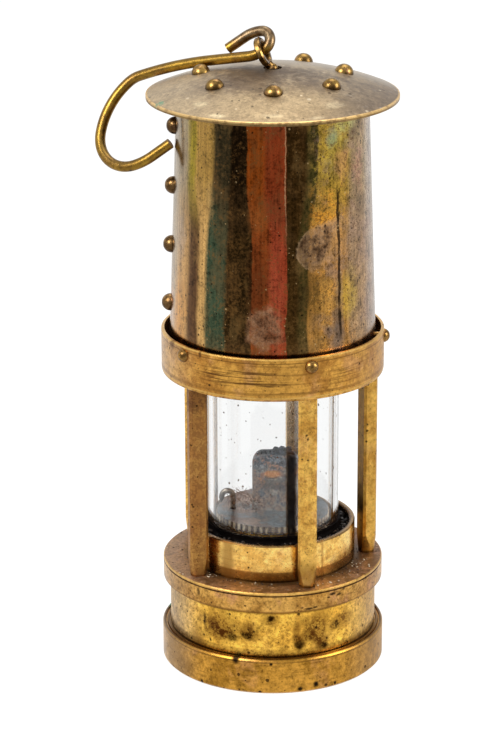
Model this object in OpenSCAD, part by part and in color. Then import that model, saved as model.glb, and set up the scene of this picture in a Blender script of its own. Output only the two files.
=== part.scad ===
// Flame safety lamp: fuel vessel, chimney glass in a cage of pillars, hood, cap and carrying hook.
// Millimetres, +Z up, origin at the centre of the foot, front towards -Y.

/* [Base ring] */
// Outside diameter of the base ring
base_d = 88; // [87.5:0.5:100]
// Height of the base ring
base_h = 14.3; // [12.5:0.1:17]
// Diameter of the opening in the foot
foot_open_d = 76; // [70:0.5:77]
// Height of the ledge that carries the vessel
ledge_h = 6; // [3:0.5:8]

/* [Fuel vessel] */
// Outside diameter of the fuel vessel
vessel_d = 81.6; // [79.6:0.2:82]
// Wall thickness of the fuel vessel
vessel_wall = 1.6; // [1.2:0.1:2]
// Height of the vessel's shoulder above the ground
shoulder_z = 33.2; // [30:0.2:40]
// Height of the vessel's floor above the ground
floor_z = 12; // [11.5:0.5:14]
// Thickness of the vessel's floor
floor_t = 1.5; // [1:0.1:2.5]
// Height of the screwed spigot on the shoulder
spigot_h = 5.4; // [4.5:0.1:5.5]
// Bore of the vessel's neck
neck_bore_d = 37; // [36.6:0.1:38]
// Wall thickness of the neck
neck_wall = 2; // [1:0.1:2.2]
// Height of the neck above the shoulder
neck_h = 25.8; // [24:0.2:30]
// Height of the wadding in the vessel
wadding_h = 14; // [6:0.5:16]

/* [Burner] */
// Diameter of the burner disc over its knurled edge
disc_d = 44.8; // [42:0.2:45.2]
// Thickness of the burner disc
disc_t = 2.5; // [2:0.1:4]
// Number of teeth in the knurled edge
disc_teeth = 60; // [30:1:90]
// Depth of the knurled teeth
tooth_h = 0.5; // [0.2:0.1:1]
// Height of the threaded boss under the disc
boss_h = 6; // [4:0.5:6.5]
// Wall thickness of the threaded boss
boss_wall = 1; // [0.8:0.1:1.6]
// Long side of the wick tube
tube_w = 18.6; // [16:0.2:19.4]
// Short side of the wick tube
tube_t = 7.4; // [6.4:0.2:9]
// Height of the wick tube above the burner disc
tube_h = 23.1; // [18:0.1:30]
// Wall thickness of the wick tube
tube_wall = 1.6; // [0.8:0.1:1.8]
// Radius of the wick tube's shoulders
tube_round = 4.4; // [2:0.2:5]
// Offset of the wick tube from the lamp's axis
tube_x = 1.2; // [0.6:0.1:1.6]
// Distance of the sight window below the top of the wick tube
window_drop = 8.2; // [6:0.1:12]
// Width of the wick
wick_w = 13; // [10:0.5:13]
// Thickness of the wick
wick_t = 3.6; // [2:0.1:3.8]

/* [Pricker] */
// Diameter of the pricker wire
pricker_d = 2.2; // [1.6:0.1:2.4]
// Distance of the pricker to the left of the axis
pricker_x = 15.7; // [15.2:0.1:16]
// Distance of the pricker in front of the axis
pricker_y = 1; // [0:0.1:2]
// Height of the pricker's bend above the burner disc
pricker_h = 8.5; // [6:0.1:12]
// Bend radius at the top of the pricker
pricker_bend = 2.2; // [1.8:0.1:2.6]
// Length of the pricker's straight point
point_l = 3.2; // [2:0.1:4.5]
// Centreline radius of the finger loop
loop_r = 5; // [4:0.1:6]
// Height of the finger loop's centreline above the ground
loop_z = 3.1; // [2.4:0.1:4]
// Outside diameter of the pricker's tube
sleeve_d = 3.6; // [3.4:0.1:4]
// Outside diameter of the gland at the foot of that tube
gland_d = 6.8; // [6:0.1:8]
// Diameter of the packing in the gland
packing_d = 5; // [4.4:0.1:5.4]
// Height of the packing in the gland
packing_h = 3; // [2:0.1:4]

/* [Lower plate and collar] */
// Thickness of the gasket between vessel and lower plate
gasket_t = 0.5; // [0.3:0.1:1.5]
// Diameter of the lower plate
plate_d = 87; // [86:0.5:94]
// Thickness of the lower plate
plate_t = 8.4; // [7.6:0.1:10]
// Threaded bore of the lower plate
plate_bore_d = 59; // [58:0.1:60]
// Depth of the groove round the lower plate
groove_h = 0.4; // [0.2:0.1:0.8]
// Outside diameter of the glass collar
collar_d = 65.2; // [64.4:0.1:66.4]
// Inside diameter of the glass collar
collar_bore_d = 60.8; // [60.4:0.1:61.6]
// Height of the collar above the lower plate
collar_h = 15.1; // [12:0.1:18]
// Depth of the collar's foot in the lower plate
collar_sink = 3; // [2:0.1:4]

/* [Glass] */
// Outside diameter of the chimney glass
glass_d = 52.2; // [51.6:0.1:53.4]
// Wall thickness of the chimney glass
glass_wall = 2.4; // [1.6:0.1:2.5]
// Height of the chimney glass
glass_h = 60.7; // [50:0.1:75]
// Thickness of the lower glass washer
washer_low_t = 1.1; // [0.8:0.1:2]
// Thickness of the upper glass washer
washer_up_t = 1.2; // [0.8:0.1:2]
// Width of the rim that the glass seat and the washers reach in under the glass
seat_lap = 2.9; // [2.6:0.1:3.1]

/* [Pillars] */
// Radius of the circle on which the pillars stand
pillar_circle_r = 37.4; // [37.2:0.1:38.4]
// Direction of the first pillar, from the front towards the right
pillar_start = 20.5; // [0:0.5:71]
// Width of a pillar bar
pillar_w = 7.2; // [6:0.1:7.6]
// Depth of a pillar bar
pillar_t = 5.8; // [5.2:0.1:6.2]
// Width of the flats on a pillar's edges
pillar_edge = 0.9; // [0.4:0.1:1.2]
// Radius of a pillar's turned foot
pillar_foot_r = 3.1; // [2.9:0.1:3.4]
// Height over which the foot widens into the bar
pillar_foot_h = 10; // [6:0.5:16]
// Diameter of the tenons at both ends
tenon_d = 5; // [3:0.1:5]
// Length of the tenons
tenon_l = 2.8; // [2:0.1:3]
// Direction that each pillar's broad face looks in
pillar_face = [0, 114, 165, 236, 13];

/* [Upper plate and band] */
// Diameter of the upper plate's lip
lip_d = 86.4; // [85.4:0.2:88]
// Height of the lip
lip_h = 0.9; // [0.6:0.1:1.4]
// Thickness of the upper plate
upper_t = 3.3; // [3:0.1:4.4]
// Opening in the upper plate
upper_bore_d = 44; // [40:0.5:45]
// Outside diameter of the band
band_d = 86.8; // [86.6:0.2:88]
// Wall thickness of the band
band_wall = 1.2; // [0.8:0.1:1.6]
// Height of the band
band_h = 15.9; // [13:0.1:18]
// Distance of the band screws below the band's top edge
screw_drop = 3.6; // [3:0.1:6]
// Head diameter of the band screws
screw_head_d = 5.5; // [4.5:0.1:6]
// Head height of the band screws
screw_head_h = 2.3; // [1.4:0.1:2.6]
// Shank diameter of the band screws
screw_d = 3; // [2:0.1:3.6]
// Direction of each band screw, from the front towards the right
screw_dir = [19.5, 87.3, 163, 236, -52.2];

/* [Hood] */
// Outside diameter of the hood at the upper plate
hood_low_d = 80.94; // [79:0.1:81.4]
// Outside diameter of the hood at its top
hood_top_d = 73.3; // [72:0.1:76]
// Height of the hood
hood_h = 108.7; // [90:0.5:130]
// Thickness of the hood's sheet
hood_wall = 1; // [0.8:0.1:1.3]
// Width of the inner lap of the hood's seam, in degrees
lap_span = 17; // [12:1:24]
// Direction of the seam rivets, from the front towards the right
seam_dir = -88.5; // [-100:0.5:-80]
// Number of rivets in the seam
seam_rivets_n = 4; // [2:1:5]
// Distance of the top seam rivet below the top of the hood
seam_drop = 15.1; // [12:0.1:16]
// Distance between seam rivets
seam_pitch = 23.4; // [18:0.1:25]
// Head diameter of the seam rivets
seam_head_d = 6.9; // [5:0.1:7]
// Head height of the seam rivets
seam_head_h = 3.4; // [2:0.1:3.5]
// Height of the ring inside the foot of the hood
hood_ring_h = 14; // [12:0.5:18]
// Thickness of that ring
hood_ring_t = 1.6; // [1:0.1:2.4]
// Outside diameter of the gauze
gauze_d = 43.2; // [38:0.2:46]
// Thickness of the gauze
gauze_t = 0.6; // [0.4:0.1:1]
// Height of the gauze
gauze_h = 80; // [60:1:88]

/* [Cap] */
// Diameter of the cap
cap_d = 96.6; // [90:0.2:104]
// Rise of the cap's dome
cap_rise = 9.9; // [8:0.1:11]
// Thickness of the cap's sheet
cap_t = 1.2; // [0.8:0.1:1.6]
// Hole at the centre of the cap
cap_hole_d = 7.2; // [7:0.1:8]
// Thickness of the crown plate under the cap
crown_t = 1; // [0.8:0.1:1.6]
// Height of the crown plate's flange
flange_h = 10; // [6:0.5:12]
// Diameter of the boss under the crown plate
crown_boss_d = 12; // [10:0.5:16]
// Height of that boss
crown_boss_h = 7.5; // [5:0.5:9]
// Number of rivets in the cap
cap_rivets_n = 7; // [5:1:7]
// Radius of the circle of cap rivets
cap_rivet_circle_r = 28; // [26:0.2:28.6]
// Head diameter of the cap rivets
cap_head_d = 7.4; // [5:0.1:7.4]
// Head height of the cap rivets
cap_head_h = 3.2; // [2:0.1:3.2]
// Shank diameter of the seam and cap rivets
rivet_d = 3.2; // [2.4:0.1:3.6]

/* [Swivel and hook] */
// Diameter of the swivel's shank
shank_d = 4.2; // [3.6:0.1:4.6]
// Hole of the swivel eye
eye_hole_d = 7.4; // [7.2:0.1:8]
// Radial width of the eye's ring
eye_w = 2.2; // [1.8:0.1:2.3]
// Thickness of the eye's ring
eye_t = 2.4; // [2:0.1:2.5]
// Centre of the eye, measured from the crown of the cap
eye_at = [-3.7, 0.4, 5.8];
// Turn of the eye about the vertical
eye_yaw = 12; // [6:0.5:18]
// Lean of the eye to the left
eye_tilt = 25; // [20:0.5:30]
// Diameter of the swivel washer
swivel_washer_d = 10; // [8:0.5:14]
// Thickness of the swivel washer
swivel_washer_t = 2; // [1:0.1:3]
// Diameter of the hook wire
hook_d = 4.1; // [3.4:0.1:4.1]
// Turn of the hook's plane about the vertical
hook_yaw = 33.8; // [32.8:0.1:34.4]
// Lean of the hook's plane
hook_lean = 31.5; // [31:0.1:32]
// Bend radius of the crook round the eye
crook_r = 4.2; // [4.1:0.1:4.3]
// Length of the crook's straight end
crook_end = 8; // [4:0.5:8]
// Length of the hook's straight run over the cap
hook_run = 16.8; // [16.4:0.1:17.2]
// Bends of the hook after that run, each as bend radius and angle
hook_bends = [[147, 12.2], [11, 27], [28, 47.2], [14, 105], [24.1, 20.1]];
// Length of the hook's straight end
hook_end = 8.8; // [4:0.1:8.8]

/* [Fits] */
// Running clearance of turning and sliding pins
running = 0.05; // [0.02:0.01:0.1]
// Clearance between pieces that are pushed together
slip = 0.05; // [0.03:0.01:0.2]
// Clearance between turning pieces that don't guide each other
free_gap = 0.3; // [0.3:0.05:0.5]

/* [Hidden] */
$fn = 96;

base_r = base_d / 2;
vessel_r = vessel_d / 2;
spigot_r = plate_bore_d / 2 - 0.08;
neck_bore_r = neck_bore_d / 2;
neck_top = shoulder_z + neck_h;
floor_top = floor_z + floor_t;
vessel_in_r = vessel_r - vessel_wall;
floor_r = vessel_in_r + 0.4;
disc_top = neck_top + disc_t;
tube_z = neck_top + 0.8;
tube_top = disc_top + tube_h;
slot_w = tube_w - 2 * tube_wall;
slot_t = tube_t - 2 * tube_wall;

pricker_r = pricker_d / 2;
pricker_at = [-pricker_x, -pricker_y, 0];
bore_r = pricker_r + free_gap;
packing_r = packing_d / 2;
packing_z = floor_z + 1;
pocket_top = packing_z + packing_h + 0.1;
gland_nut_t = 1.2;

plate_z = shoulder_z + gasket_t;
plate_top = plate_z + plate_t;
plate_r = plate_d / 2;
seat_z = plate_top - collar_sink;
collar_r = collar_d / 2;
collar_in_r = collar_bore_d / 2;
collar_foot_r = collar_in_r + 0.95;
collar_top = plate_top + collar_h;
glass_r = glass_d / 2;
seat_in_r = glass_r - seat_lap;
glass_z = collar_top + washer_low_t;
glass_top = glass_z + glass_h;
washer_r = glass_r + 0.7;

upper_z = glass_top + washer_up_t;
upper_top = upper_z + upper_t;
band_r = band_d / 2;
band_in_r = band_r - band_wall;
band_z = upper_z + lip_h;
screw_z = band_z + band_h - screw_drop;
pillar_l = upper_z - plate_top;

hood_z = upper_top;
hood_top = hood_z + hood_h;
hood_low_r = hood_low_d / 2;
hood_top_r = hood_top_d / 2;
hood_slope = (hood_low_r - hood_top_r) / hood_h;
ring_low_r = hood_low_r - hood_wall - slip;

cap_r = cap_d / 2;
cap_sphere_r = (cap_r * cap_r + cap_rise * cap_rise) / (2 * cap_rise);
cap_under_r = cap_sphere_r - cap_t;
cap_centre_z = hood_top + 0.2 - sqrt(cap_under_r * cap_under_r - hood_top_r * hood_top_r);
crown_z = cap_centre_z + cap_sphere_r;
crown_out_r = cap_under_r - slip;
crown_in_r = crown_out_r - crown_t;
flange_r = hood_top_r - hood_wall - slip;
flange_l = cap_centre_z + sqrt(crown_in_r * crown_in_r - flange_r * flange_r) + crown_t / 2
    - hood_top + flange_h;
cap_rivet_tilt = asin(cap_rivet_circle_r / cap_sphere_r);
crown_boss_z = cap_centre_z + crown_in_r - crown_boss_h;

shank_r = shank_d / 2;
hook_r = hook_d / 2;
eye_mid_r = eye_hole_d / 2 + eye_w / 2;
eye_c = [eye_at[0], eye_at[1], crown_z + eye_at[2]];
eye_n = [cos(eye_tilt) * cos(eye_yaw), -cos(eye_tilt) * sin(eye_yaw), sin(eye_tilt)];
eye_up = [-sin(eye_tilt) * cos(eye_yaw), sin(eye_tilt) * sin(eye_yaw), cos(eye_tilt)];
hook_n = [sin(hook_yaw) * cos(hook_lean), cos(hook_yaw) * cos(hook_lean), -sin(hook_lean)];
link = cross(eye_n, hook_n);
hook_c = eye_c + eye_mid_r * link / norm(link);
crook_low = 48;
crook_high = 100;
washer_top = crown_boss_z - free_gap;
washer_z = washer_top - swivel_washer_t;

function hood_r(z) = hood_low_r - hood_slope * (z - hood_z);

// Children at a place given by direction, radius and height, with +Z of the child looking outwards
module outward(direction, r, z) {
    rotate([0, 0, direction]) translate([0, -r, z]) rotate([90, 0, 0]) children();
}

// Ring with a square section
module ring(r_out, r_in, h) {
    rotate_extrude() translate([r_in, 0]) square([r_out - r_in, h]);
}

// Flat-sided oval, long side along X
module oval(w, t, h) {
    for (side = [-1, 1]) {
        translate([side * (w - t) / 2, 0, 0]) cylinder(d = t, h = h);
    }
    translate([-(w - t) / 2, -t / 2, 0]) cube([w - t, t, h]);
}

// Dome standing on z = 0
module dome(d, h) {
    s = (d * d / 4 + h * h) / (2 * h);
    intersection() {
        translate([0, 0, h - s]) sphere(r = s);
        cylinder(d = d + 2, h = h + 1);
    }
}

// Round wire along +Z; each step is a length or bend radius, a turn and a roll; children at its end
module wire(steps, r, i = 0) {
    if (i < len(steps)) {
        size = steps[i][0];
        turn = steps[i][1];
        rotate([0, 0, steps[i][2]]) {
            if (i > 0) {
                translate([0, 0, -0.15]) cylinder(r = r + 0.02, h = 0.3, $fn = 32);
            }
            if (turn == 0) {
                cylinder(r = r, h = size, $fn = 32);
                translate([0, 0, size]) wire(steps, r, i + 1) children();
            } else {
                translate([size, 0, 0]) rotate([90, 0, 0]) rotate([0, 0, 180 - turn])
                    rotate_extrude(angle = turn) translate([size, 0]) circle(r = r, $fn = 32);
                translate([size * (1 - cos(turn)), 0, size * sin(turn)]) rotate([0, turn, 0])
                    wire(steps, r, i + 1) children();
            }
        }
    } else {
        children();
    }
}

// Base

module base_ring() {
    color([0.70, 0.53, 0.24]) rotate_extrude() polygon([
        [foot_open_d / 2, 0],
        [base_r - 0.8, 0],
        [base_r, 0.8],
        [base_r, base_h - 0.7],
        [base_r - 0.5, base_h],
        [base_r - 1.1, base_h],
        [base_r - 1.3, base_h - 0.8],
        [base_r - 1.7, base_h - 0.8],
        [base_r - 1.9, base_h - 0.1],
        [vessel_r + 0.6, base_h - 0.1],
        [vessel_r + 0.4, base_h - 0.6],
        [vessel_r + slip, base_h - 0.6],
        [vessel_r + slip, ledge_h],
        [foot_open_d / 2, ledge_h]
    ]);
}

module vessel_body() {
    color([0.80, 0.63, 0.26]) rotate_extrude() polygon([
        [floor_r + slip, ledge_h],
        [vessel_r, ledge_h],
        [vessel_r, shoulder_z],
        [spigot_r, shoulder_z],
        [spigot_r, shoulder_z + spigot_h],
        [neck_bore_r + neck_wall, shoulder_z + spigot_h],
        [neck_bore_r + neck_wall, neck_top],
        [neck_bore_r, neck_top],
        [neck_bore_r, shoulder_z + spigot_h - vessel_wall],
        [spigot_r - vessel_wall, shoulder_z + spigot_h - vessel_wall],
        [spigot_r - vessel_wall, shoulder_z - vessel_wall],
        [vessel_in_r, shoulder_z - vessel_wall],
        [vessel_in_r, floor_top],
        [floor_r + slip, floor_top]
    ]);
}

module vessel_bottom() {
    color([0.62, 0.48, 0.24]) difference() {
        translate([0, 0, floor_z]) cylinder(r = floor_r, h = floor_t);
        translate(pricker_at + [0, 0, floor_z - 1]) cylinder(r = packing_r + running, h = floor_t + 2);
    }
}

module fuel_wadding() {
    color([0.80, 0.78, 0.70]) difference() {
        translate([0, 0, floor_top]) cylinder(r = vessel_in_r - 0.4, h = wadding_h);
        translate(pricker_at + [0, 0, floor_top - 1]) cylinder(d = sleeve_d + 0.2, h = wadding_h + 2);
        translate(pricker_at + [0, 0, floor_top - 1]) cylinder(d = gland_d + 0.2, h = packing_h + 4.1);
        translate([tube_x, 0, floor_top - 1]) oval(wick_w + 0.4, wick_t + 0.4, wadding_h + 2);
    }
}

module vessel_gasket() {
    color([0.10, 0.09, 0.08]) translate([0, 0, shoulder_z])
        ring(vessel_r - 0.8, spigot_r + 0.3, gasket_t);
}

// Burner

module burner_disc() {
    r = disc_d / 2;
    edge = [for (i = [0:2 * disc_teeth - 1])
        (r - (i % 2) * tooth_h) * [cos(180 * i / disc_teeth), sin(180 * i / disc_teeth)]];
    color([0.38, 0.40, 0.42]) difference() {
        union() {
            translate([0, 0, neck_top]) linear_extrude(disc_t) polygon(edge);
            translate([0, 0, neck_top - boss_h]) cylinder(r = neck_bore_r - slip, h = boss_h + 1);
        }
        translate([0, 0, neck_top - boss_h - 1])
            cylinder(r = neck_bore_r - slip - boss_wall, h = boss_h + 1);
        translate([tube_x, 0, tube_z]) oval(tube_w + 2 * slip, tube_t + 2 * slip, disc_t);
        translate([tube_x, 0, neck_top - 1]) oval(slot_w, slot_t, disc_t);
        translate(pricker_at + [0, 0, neck_top - 1]) cylinder(r = bore_r, h = disc_t + 2);
    }
}

module wick_tube() {
    h = tube_top - tube_z;
    color([0.42, 0.44, 0.46]) translate([tube_x, 0, tube_z]) difference() {
        intersection() {
            oval(tube_w, tube_t, h);
            union() {
                for (side = [-1, 1]) {
                    translate([side * (tube_w / 2 - tube_round), tube_t, h - tube_round])
                        rotate([90, 0, 0]) cylinder(r = tube_round, h = 2 * tube_t);
                }
                translate([-tube_w / 2, -tube_t, -1]) cube([tube_w, 2 * tube_t, h + 1 - tube_round]);
                translate([tube_round - tube_w / 2, -tube_t, -1])
                    cube([tube_w - 2 * tube_round, 2 * tube_t, h + 1]);
            }
        }
        translate([0, 0, -1]) oval(slot_w, slot_t, h + 2);
        translate([-tube_x - 0.4, 0, h - window_drop]) rotate([90, 0, 0]) oval(6, 3.4, tube_t);
    }
}

module wick() {
    color([0.10, 0.09, 0.08]) intersection() {
        translate([tube_x, 0, floor_top]) oval(wick_w, wick_t, tube_top - floor_top + 4);
        translate([tube_x, wick_t, tube_top]) rotate([90, 0, 0]) linear_extrude(2 * wick_t) polygon([
            [-wick_w / 2 - 1, floor_top - tube_top - 1],
            [-wick_w / 2 - 1, -1.6],
            [-wick_w / 2 + 1.4, -1],
            [-wick_w / 2 + 3.4, -1.7],
            [-wick_w / 2 + 4.9, -0.4],
            [-wick_w / 2 + 5.7, 1.6],
            [-wick_w / 2 + 7.1, 2.3],
            [-wick_w / 2 + 8.5, 1.7],
            [-wick_w / 2 + 9.9, 2.2],
            [-wick_w / 2 + 11.5, 1.6],
            [wick_w / 2, 0.9],
            [wick_w / 2 + 1, floor_top - tube_top - 1]
        ]);
    }
}

// Pricker

module pricker_tube() {
    gland_top = pocket_top + 1.4;
    color([0.55, 0.44, 0.24]) translate(pricker_at) difference() {
        union() {
            translate([0, 0, floor_top]) cylinder(d = gland_d, h = gland_top - floor_top);
            translate([0, 0, gland_top - 1]) cylinder(d = sleeve_d, h = neck_top - boss_h - gland_top + 0.5);
        }
        translate([0, 0, floor_top - 1])
            cylinder(r = packing_r + running, h = pocket_top - floor_top + 1);
        translate([0, 0, floor_top]) cylinder(r = bore_r, h = neck_top);
    }
}

module gland_nut() {
    color([0.55, 0.44, 0.24]) translate(pricker_at) difference() {
        union() {
            translate([0, 0, floor_z - gland_nut_t]) cylinder(d = gland_d + 0.6, h = gland_nut_t, $fn = 6);
            translate([0, 0, floor_z - 0.2]) cylinder(r = packing_r, h = packing_z - floor_z + 0.1);
        }
        translate([0, 0, floor_z - gland_nut_t - 1]) cylinder(r = bore_r, h = gland_nut_t + 3);
    }
}

module pricker_packing() {
    color([0.30, 0.26, 0.22]) translate(pricker_at + [0, 0, packing_z])
        ring(packing_r, pricker_r + running, packing_h);
}

module pricker() {
    bend_z = disc_top + pricker_h - pricker_bend - pricker_r;
    foot_r = 3;
    arm_l = 2;
    open_a = 60;
    color([0.30, 0.29, 0.28])
    translate(pricker_at + [-loop_r, -foot_r - arm_l, loop_z])
    rotate([0, 0, open_a]) translate([loop_r, 0, 0]) rotate([-90, 0, 0])
    wire([
        [loop_r, 360 - open_a, 180],
        [arm_l, 0, 0],
        [foot_r, 90, 90],
        [bend_z - loop_z - foot_r, 0, 0],
        [pricker_bend, 170, -90],
        [point_l - 2, 0, 0]
    ], pricker_r) {
        translate([0, 0, -0.1]) cylinder(r1 = pricker_r, r2 = 0.25, h = 2.1, $fn = 32);
    }
}

// Cage

module lower_plate() {
    groove_z = plate_top - 1.5;
    color([0.66, 0.50, 0.26]) difference() {
        rotate_extrude() polygon([
            [plate_bore_d / 2, plate_z],
            [plate_r - 0.4, plate_z],
            [plate_r, plate_z + 0.4],
            [plate_r, groove_z],
            [plate_r - groove_h, groove_z + 0.1],
            [plate_r - groove_h, groove_z + 0.4],
            [plate_r, groove_z + 0.5],
            [plate_r, plate_top - 0.4],
            [plate_r - 0.4, plate_top],
            [collar_foot_r + slip, plate_top],
            [collar_foot_r + slip, seat_z],
            [plate_bore_d / 2, seat_z]
        ]);
        tenon_holes(plate_top - tenon_l - 0.2);
    }
}

// Cutters for the pillars' tenons, standing on z
module tenon_holes(z) {
    for (k = [0:4]) {
        rotate([0, 0, pillar_start + 72 * k]) translate([0, -pillar_circle_r, z])
            cylinder(d = tenon_d + 2 * slip, h = tenon_l + 0.2);
    }
}

module glass_collar() {
    color([0.83, 0.66, 0.28]) rotate_extrude() polygon([
        [collar_in_r, seat_z],
        [collar_foot_r, seat_z],
        [collar_foot_r, plate_top],
        [collar_r, plate_top],
        [collar_r, collar_top - 0.4],
        [collar_r - 0.4, collar_top],
        [collar_in_r + 0.4, collar_top],
        [collar_in_r, collar_top - 0.4]
    ]);
}

module glass_seat_ring() {
    r = collar_in_r - slip;
    color([0.06, 0.06, 0.06]) rotate_extrude() polygon([
        [seat_in_r, seat_z],
        [r, seat_z],
        [r, collar_top - 1.8],
        [r - 1.6, collar_top - 0.9],
        [washer_r + 0.2, collar_top],
        [seat_in_r, collar_top]
    ]);
}

module lower_glass_washer() {
    color([0.07, 0.07, 0.07]) translate([0, 0, collar_top]) ring(washer_r, seat_in_r, washer_low_t);
}

module glass_chimney() {
    r_in = glass_r - glass_wall;
    color([0.85, 0.92, 0.93, 0.35]) rotate_extrude() polygon([
        [r_in, glass_z + 0.4],
        [r_in + 0.4, glass_z],
        [glass_r - 0.4, glass_z],
        [glass_r, glass_z + 0.4],
        [glass_r, glass_top - 0.4],
        [glass_r - 0.4, glass_top],
        [r_in + 0.4, glass_top],
        [r_in, glass_top - 0.4]
    ]);
}

module upper_glass_washer() {
    color([0.07, 0.07, 0.07]) translate([0, 0, glass_top]) ring(washer_r, seat_in_r, washer_up_t);
}

// One pillar: a flat-edged bar on a turned foot, with a tenon at each end
module pillar(k) {
    w = pillar_w / 2;
    t = pillar_t / 2;
    e = pillar_edge;
    far = sqrt(w * w + t * t);
    color([0.80, 0.62, 0.27])
    rotate([0, 0, pillar_start + 72 * k])
    translate([0, -pillar_circle_r, plate_top])
    rotate([0, 0, pillar_face[k] - pillar_start - 72 * k]) {
        intersection() {
            linear_extrude(pillar_l) polygon([
                [e - w, -t],
                [w - e, -t],
                [w, e - t],
                [w, t - e],
                [w - e, t],
                [e - w, t],
                [-w, t - e],
                [-w, e - t]
            ]);
            rotate_extrude() polygon([
                [0, 0],
                [pillar_foot_r, 0],
                [far - 0.3, pillar_foot_h],
                [far + 1, pillar_foot_h + 4],
                [far + 1, pillar_l],
                [0, pillar_l]
            ]);
        }
        translate([0, 0, -tenon_l]) cylinder(d = tenon_d, h = tenon_l + 1, $fn = 48);
        translate([0, 0, pillar_l - 1]) cylinder(d = tenon_d, h = tenon_l + 1, $fn = 48);
    }
}

module upper_plate() {
    color([0.72, 0.55, 0.27]) difference() {
        rotate_extrude() polygon([
            [upper_bore_d / 2, upper_z],
            [lip_d / 2 - 0.2, upper_z],
            [lip_d / 2, upper_z + 0.2],
            [lip_d / 2, band_z],
            [band_in_r - slip, band_z],
            [band_in_r - slip, upper_top],
            [upper_bore_d / 2, upper_top]
        ]);
        tenon_holes(upper_z);
    }
}

module band() {
    color([0.66, 0.49, 0.23]) difference() {
        translate([0, 0, band_z]) rotate_extrude() polygon([
            [band_in_r, 0],
            [band_r, 0],
            [band_r, band_h - 0.4],
            [band_r - 0.4, band_h],
            [band_in_r, band_h]
        ]);
        screw_holes(band_in_r - 1, band_r + 1, screw_d / 2 + slip);
    }
}

// Cutters for the band screws between two radii
module screw_holes(r1, r2, r) {
    for (d = screw_dir) {
        outward(d, r1, screw_z) cylinder(r = r, h = r2 - r1, $fn = 48);
    }
}

module band_screws() {
    r1 = hood_r(screw_z) - hood_wall - hood_ring_t + 0.2;
    color([0.74, 0.57, 0.30]) for (d = screw_dir) {
        outward(d, r1, screw_z) cylinder(d = screw_d, h = band_r - r1 + 0.5, $fn = 48);
        outward(d, band_r, screw_z) dome(screw_head_d, screw_head_h, $fn = 48);
    }
}

// Hood

module hood_ring() {
    color([0.60, 0.46, 0.24]) difference() {
        rotate_extrude() polygon([
            [ring_low_r - hood_ring_t, hood_z],
            [ring_low_r, hood_z],
            [ring_low_r - hood_slope * hood_ring_h, hood_z + hood_ring_h],
            [ring_low_r - hood_ring_t - hood_slope * hood_ring_h, hood_z + hood_ring_h]
        ]);
        screw_holes(ring_low_r - hood_ring_t - 3, ring_low_r + 2, screw_d / 2 + slip);
    }
}

module gauze_ring() {
    color([0.45, 0.36, 0.24]) translate([0, 0, upper_top]) ring(upper_bore_d / 2 + 4, gauze_d / 2 - 1.6, 2.5);
}

module gauze() {
    z = upper_top + 2.5;
    r = gauze_d / 2;
    color([0.30, 0.29, 0.28]) rotate_extrude() polygon([
        [r - gauze_t, z],
        [r, z],
        [r - 1.6, z + gauze_h],
        [0, z + gauze_h],
        [0, z + gauze_h - gauze_t],
        [r - 1.6 - gauze_t, z + gauze_h - gauze_t]
    ]);
}

// Cone-shaped sheet between two offsets from the hood's outside
module hood_sheet(off_out, off_in, z1, z2, span) {
    rotate_extrude(angle = span) polygon([
        [hood_r(z1) - off_in, z1],
        [hood_r(z1) - off_out, z1],
        [hood_r(z2) - off_out, z2],
        [hood_r(z2) - off_in, z2]
    ]);
}

module hood() {
    lap_z = hood_z + hood_ring_h + 0.5;
    lap_top = hood_top - flange_h - 3;
    color([0.55, 0.42, 0.26]) difference() {
        union() {
            hood_sheet(0, hood_wall, hood_z, hood_top, 360);
            rotate([0, 0, seam_dir - 90 - lap_span / 2])
                hood_sheet(hood_wall - 0.1, 2 * hood_wall, lap_z, lap_top, lap_span);
        }
        rotate([0, 0, seam_dir - 90 + lap_span / 2])
            hood_sheet(-0.2, 0.3, band_z + band_h + 0.6, hood_top + 1, 0.5);
        screw_holes(ring_low_r - 3, hood_low_r + 1, screw_d / 2 + slip);
        for (k = [0:seam_rivets_n - 1]) {
            outward(seam_dir, hood_top_r - 6, seam_z(k)) cylinder(d = rivet_d + 2 * slip, h = 14, $fn = 48);
        }
    }
}

function seam_z(k) = hood_top - seam_drop - seam_pitch * k;

module seam_rivets() {
    color([0.62, 0.42, 0.24]) for (k = [0:seam_rivets_n - 1]) {
        z = seam_z(k);
        r = hood_r(z) + 0.1;
        tail = 2 * hood_wall + 0.35;
        outward(seam_dir, r - tail - 0.5, z) cylinder(d = rivet_d, h = tail + 1, $fn = 48);
        outward(seam_dir, r, z) dome(seam_head_d, seam_head_h, $fn = 64);
        outward(seam_dir, r - tail - 1.2, z) cylinder(d = rivet_d + 1.8, h = 1.2, $fn = 48);
    }
}

// Crown

module crown_plate() {
    color([0.55, 0.42, 0.26]) difference() {
        union() {
            intersection() {
                translate([0, 0, cap_centre_z]) difference() {
                    sphere(r = crown_out_r, $fn = 192);
                    sphere(r = crown_in_r, $fn = 192);
                }
                translate([0, 0, hood_top - flange_h]) cylinder(r = flange_r, h = 3 * flange_h);
            }
            translate([0, 0, hood_top - flange_h]) ring(flange_r, flange_r - crown_t, flange_l);
            translate([0, 0, crown_boss_z]) cylinder(d = crown_boss_d, h = crown_boss_h + crown_t / 2);
        }
        translate([0, 0, crown_boss_z - 1]) cylinder(r = shank_r + running, h = crown_boss_h + 6);
        cap_rivet_holes();
    }
}

// Children at each cap rivet, with +Z along the rivet and z = 0 on the outside of the cap
module at_cap_rivets() {
    for (k = [0:cap_rivets_n - 1]) {
        translate([0, 0, cap_centre_z]) rotate([0, 0, 360 * k / cap_rivets_n])
            rotate([cap_rivet_tilt, 0, 0]) translate([0, 0, cap_sphere_r]) children();
    }
}

module cap_rivet_holes() {
    at_cap_rivets() translate([0, 0, -6]) cylinder(d = rivet_d + 2 * slip, h = 8, $fn = 48);
}

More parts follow.
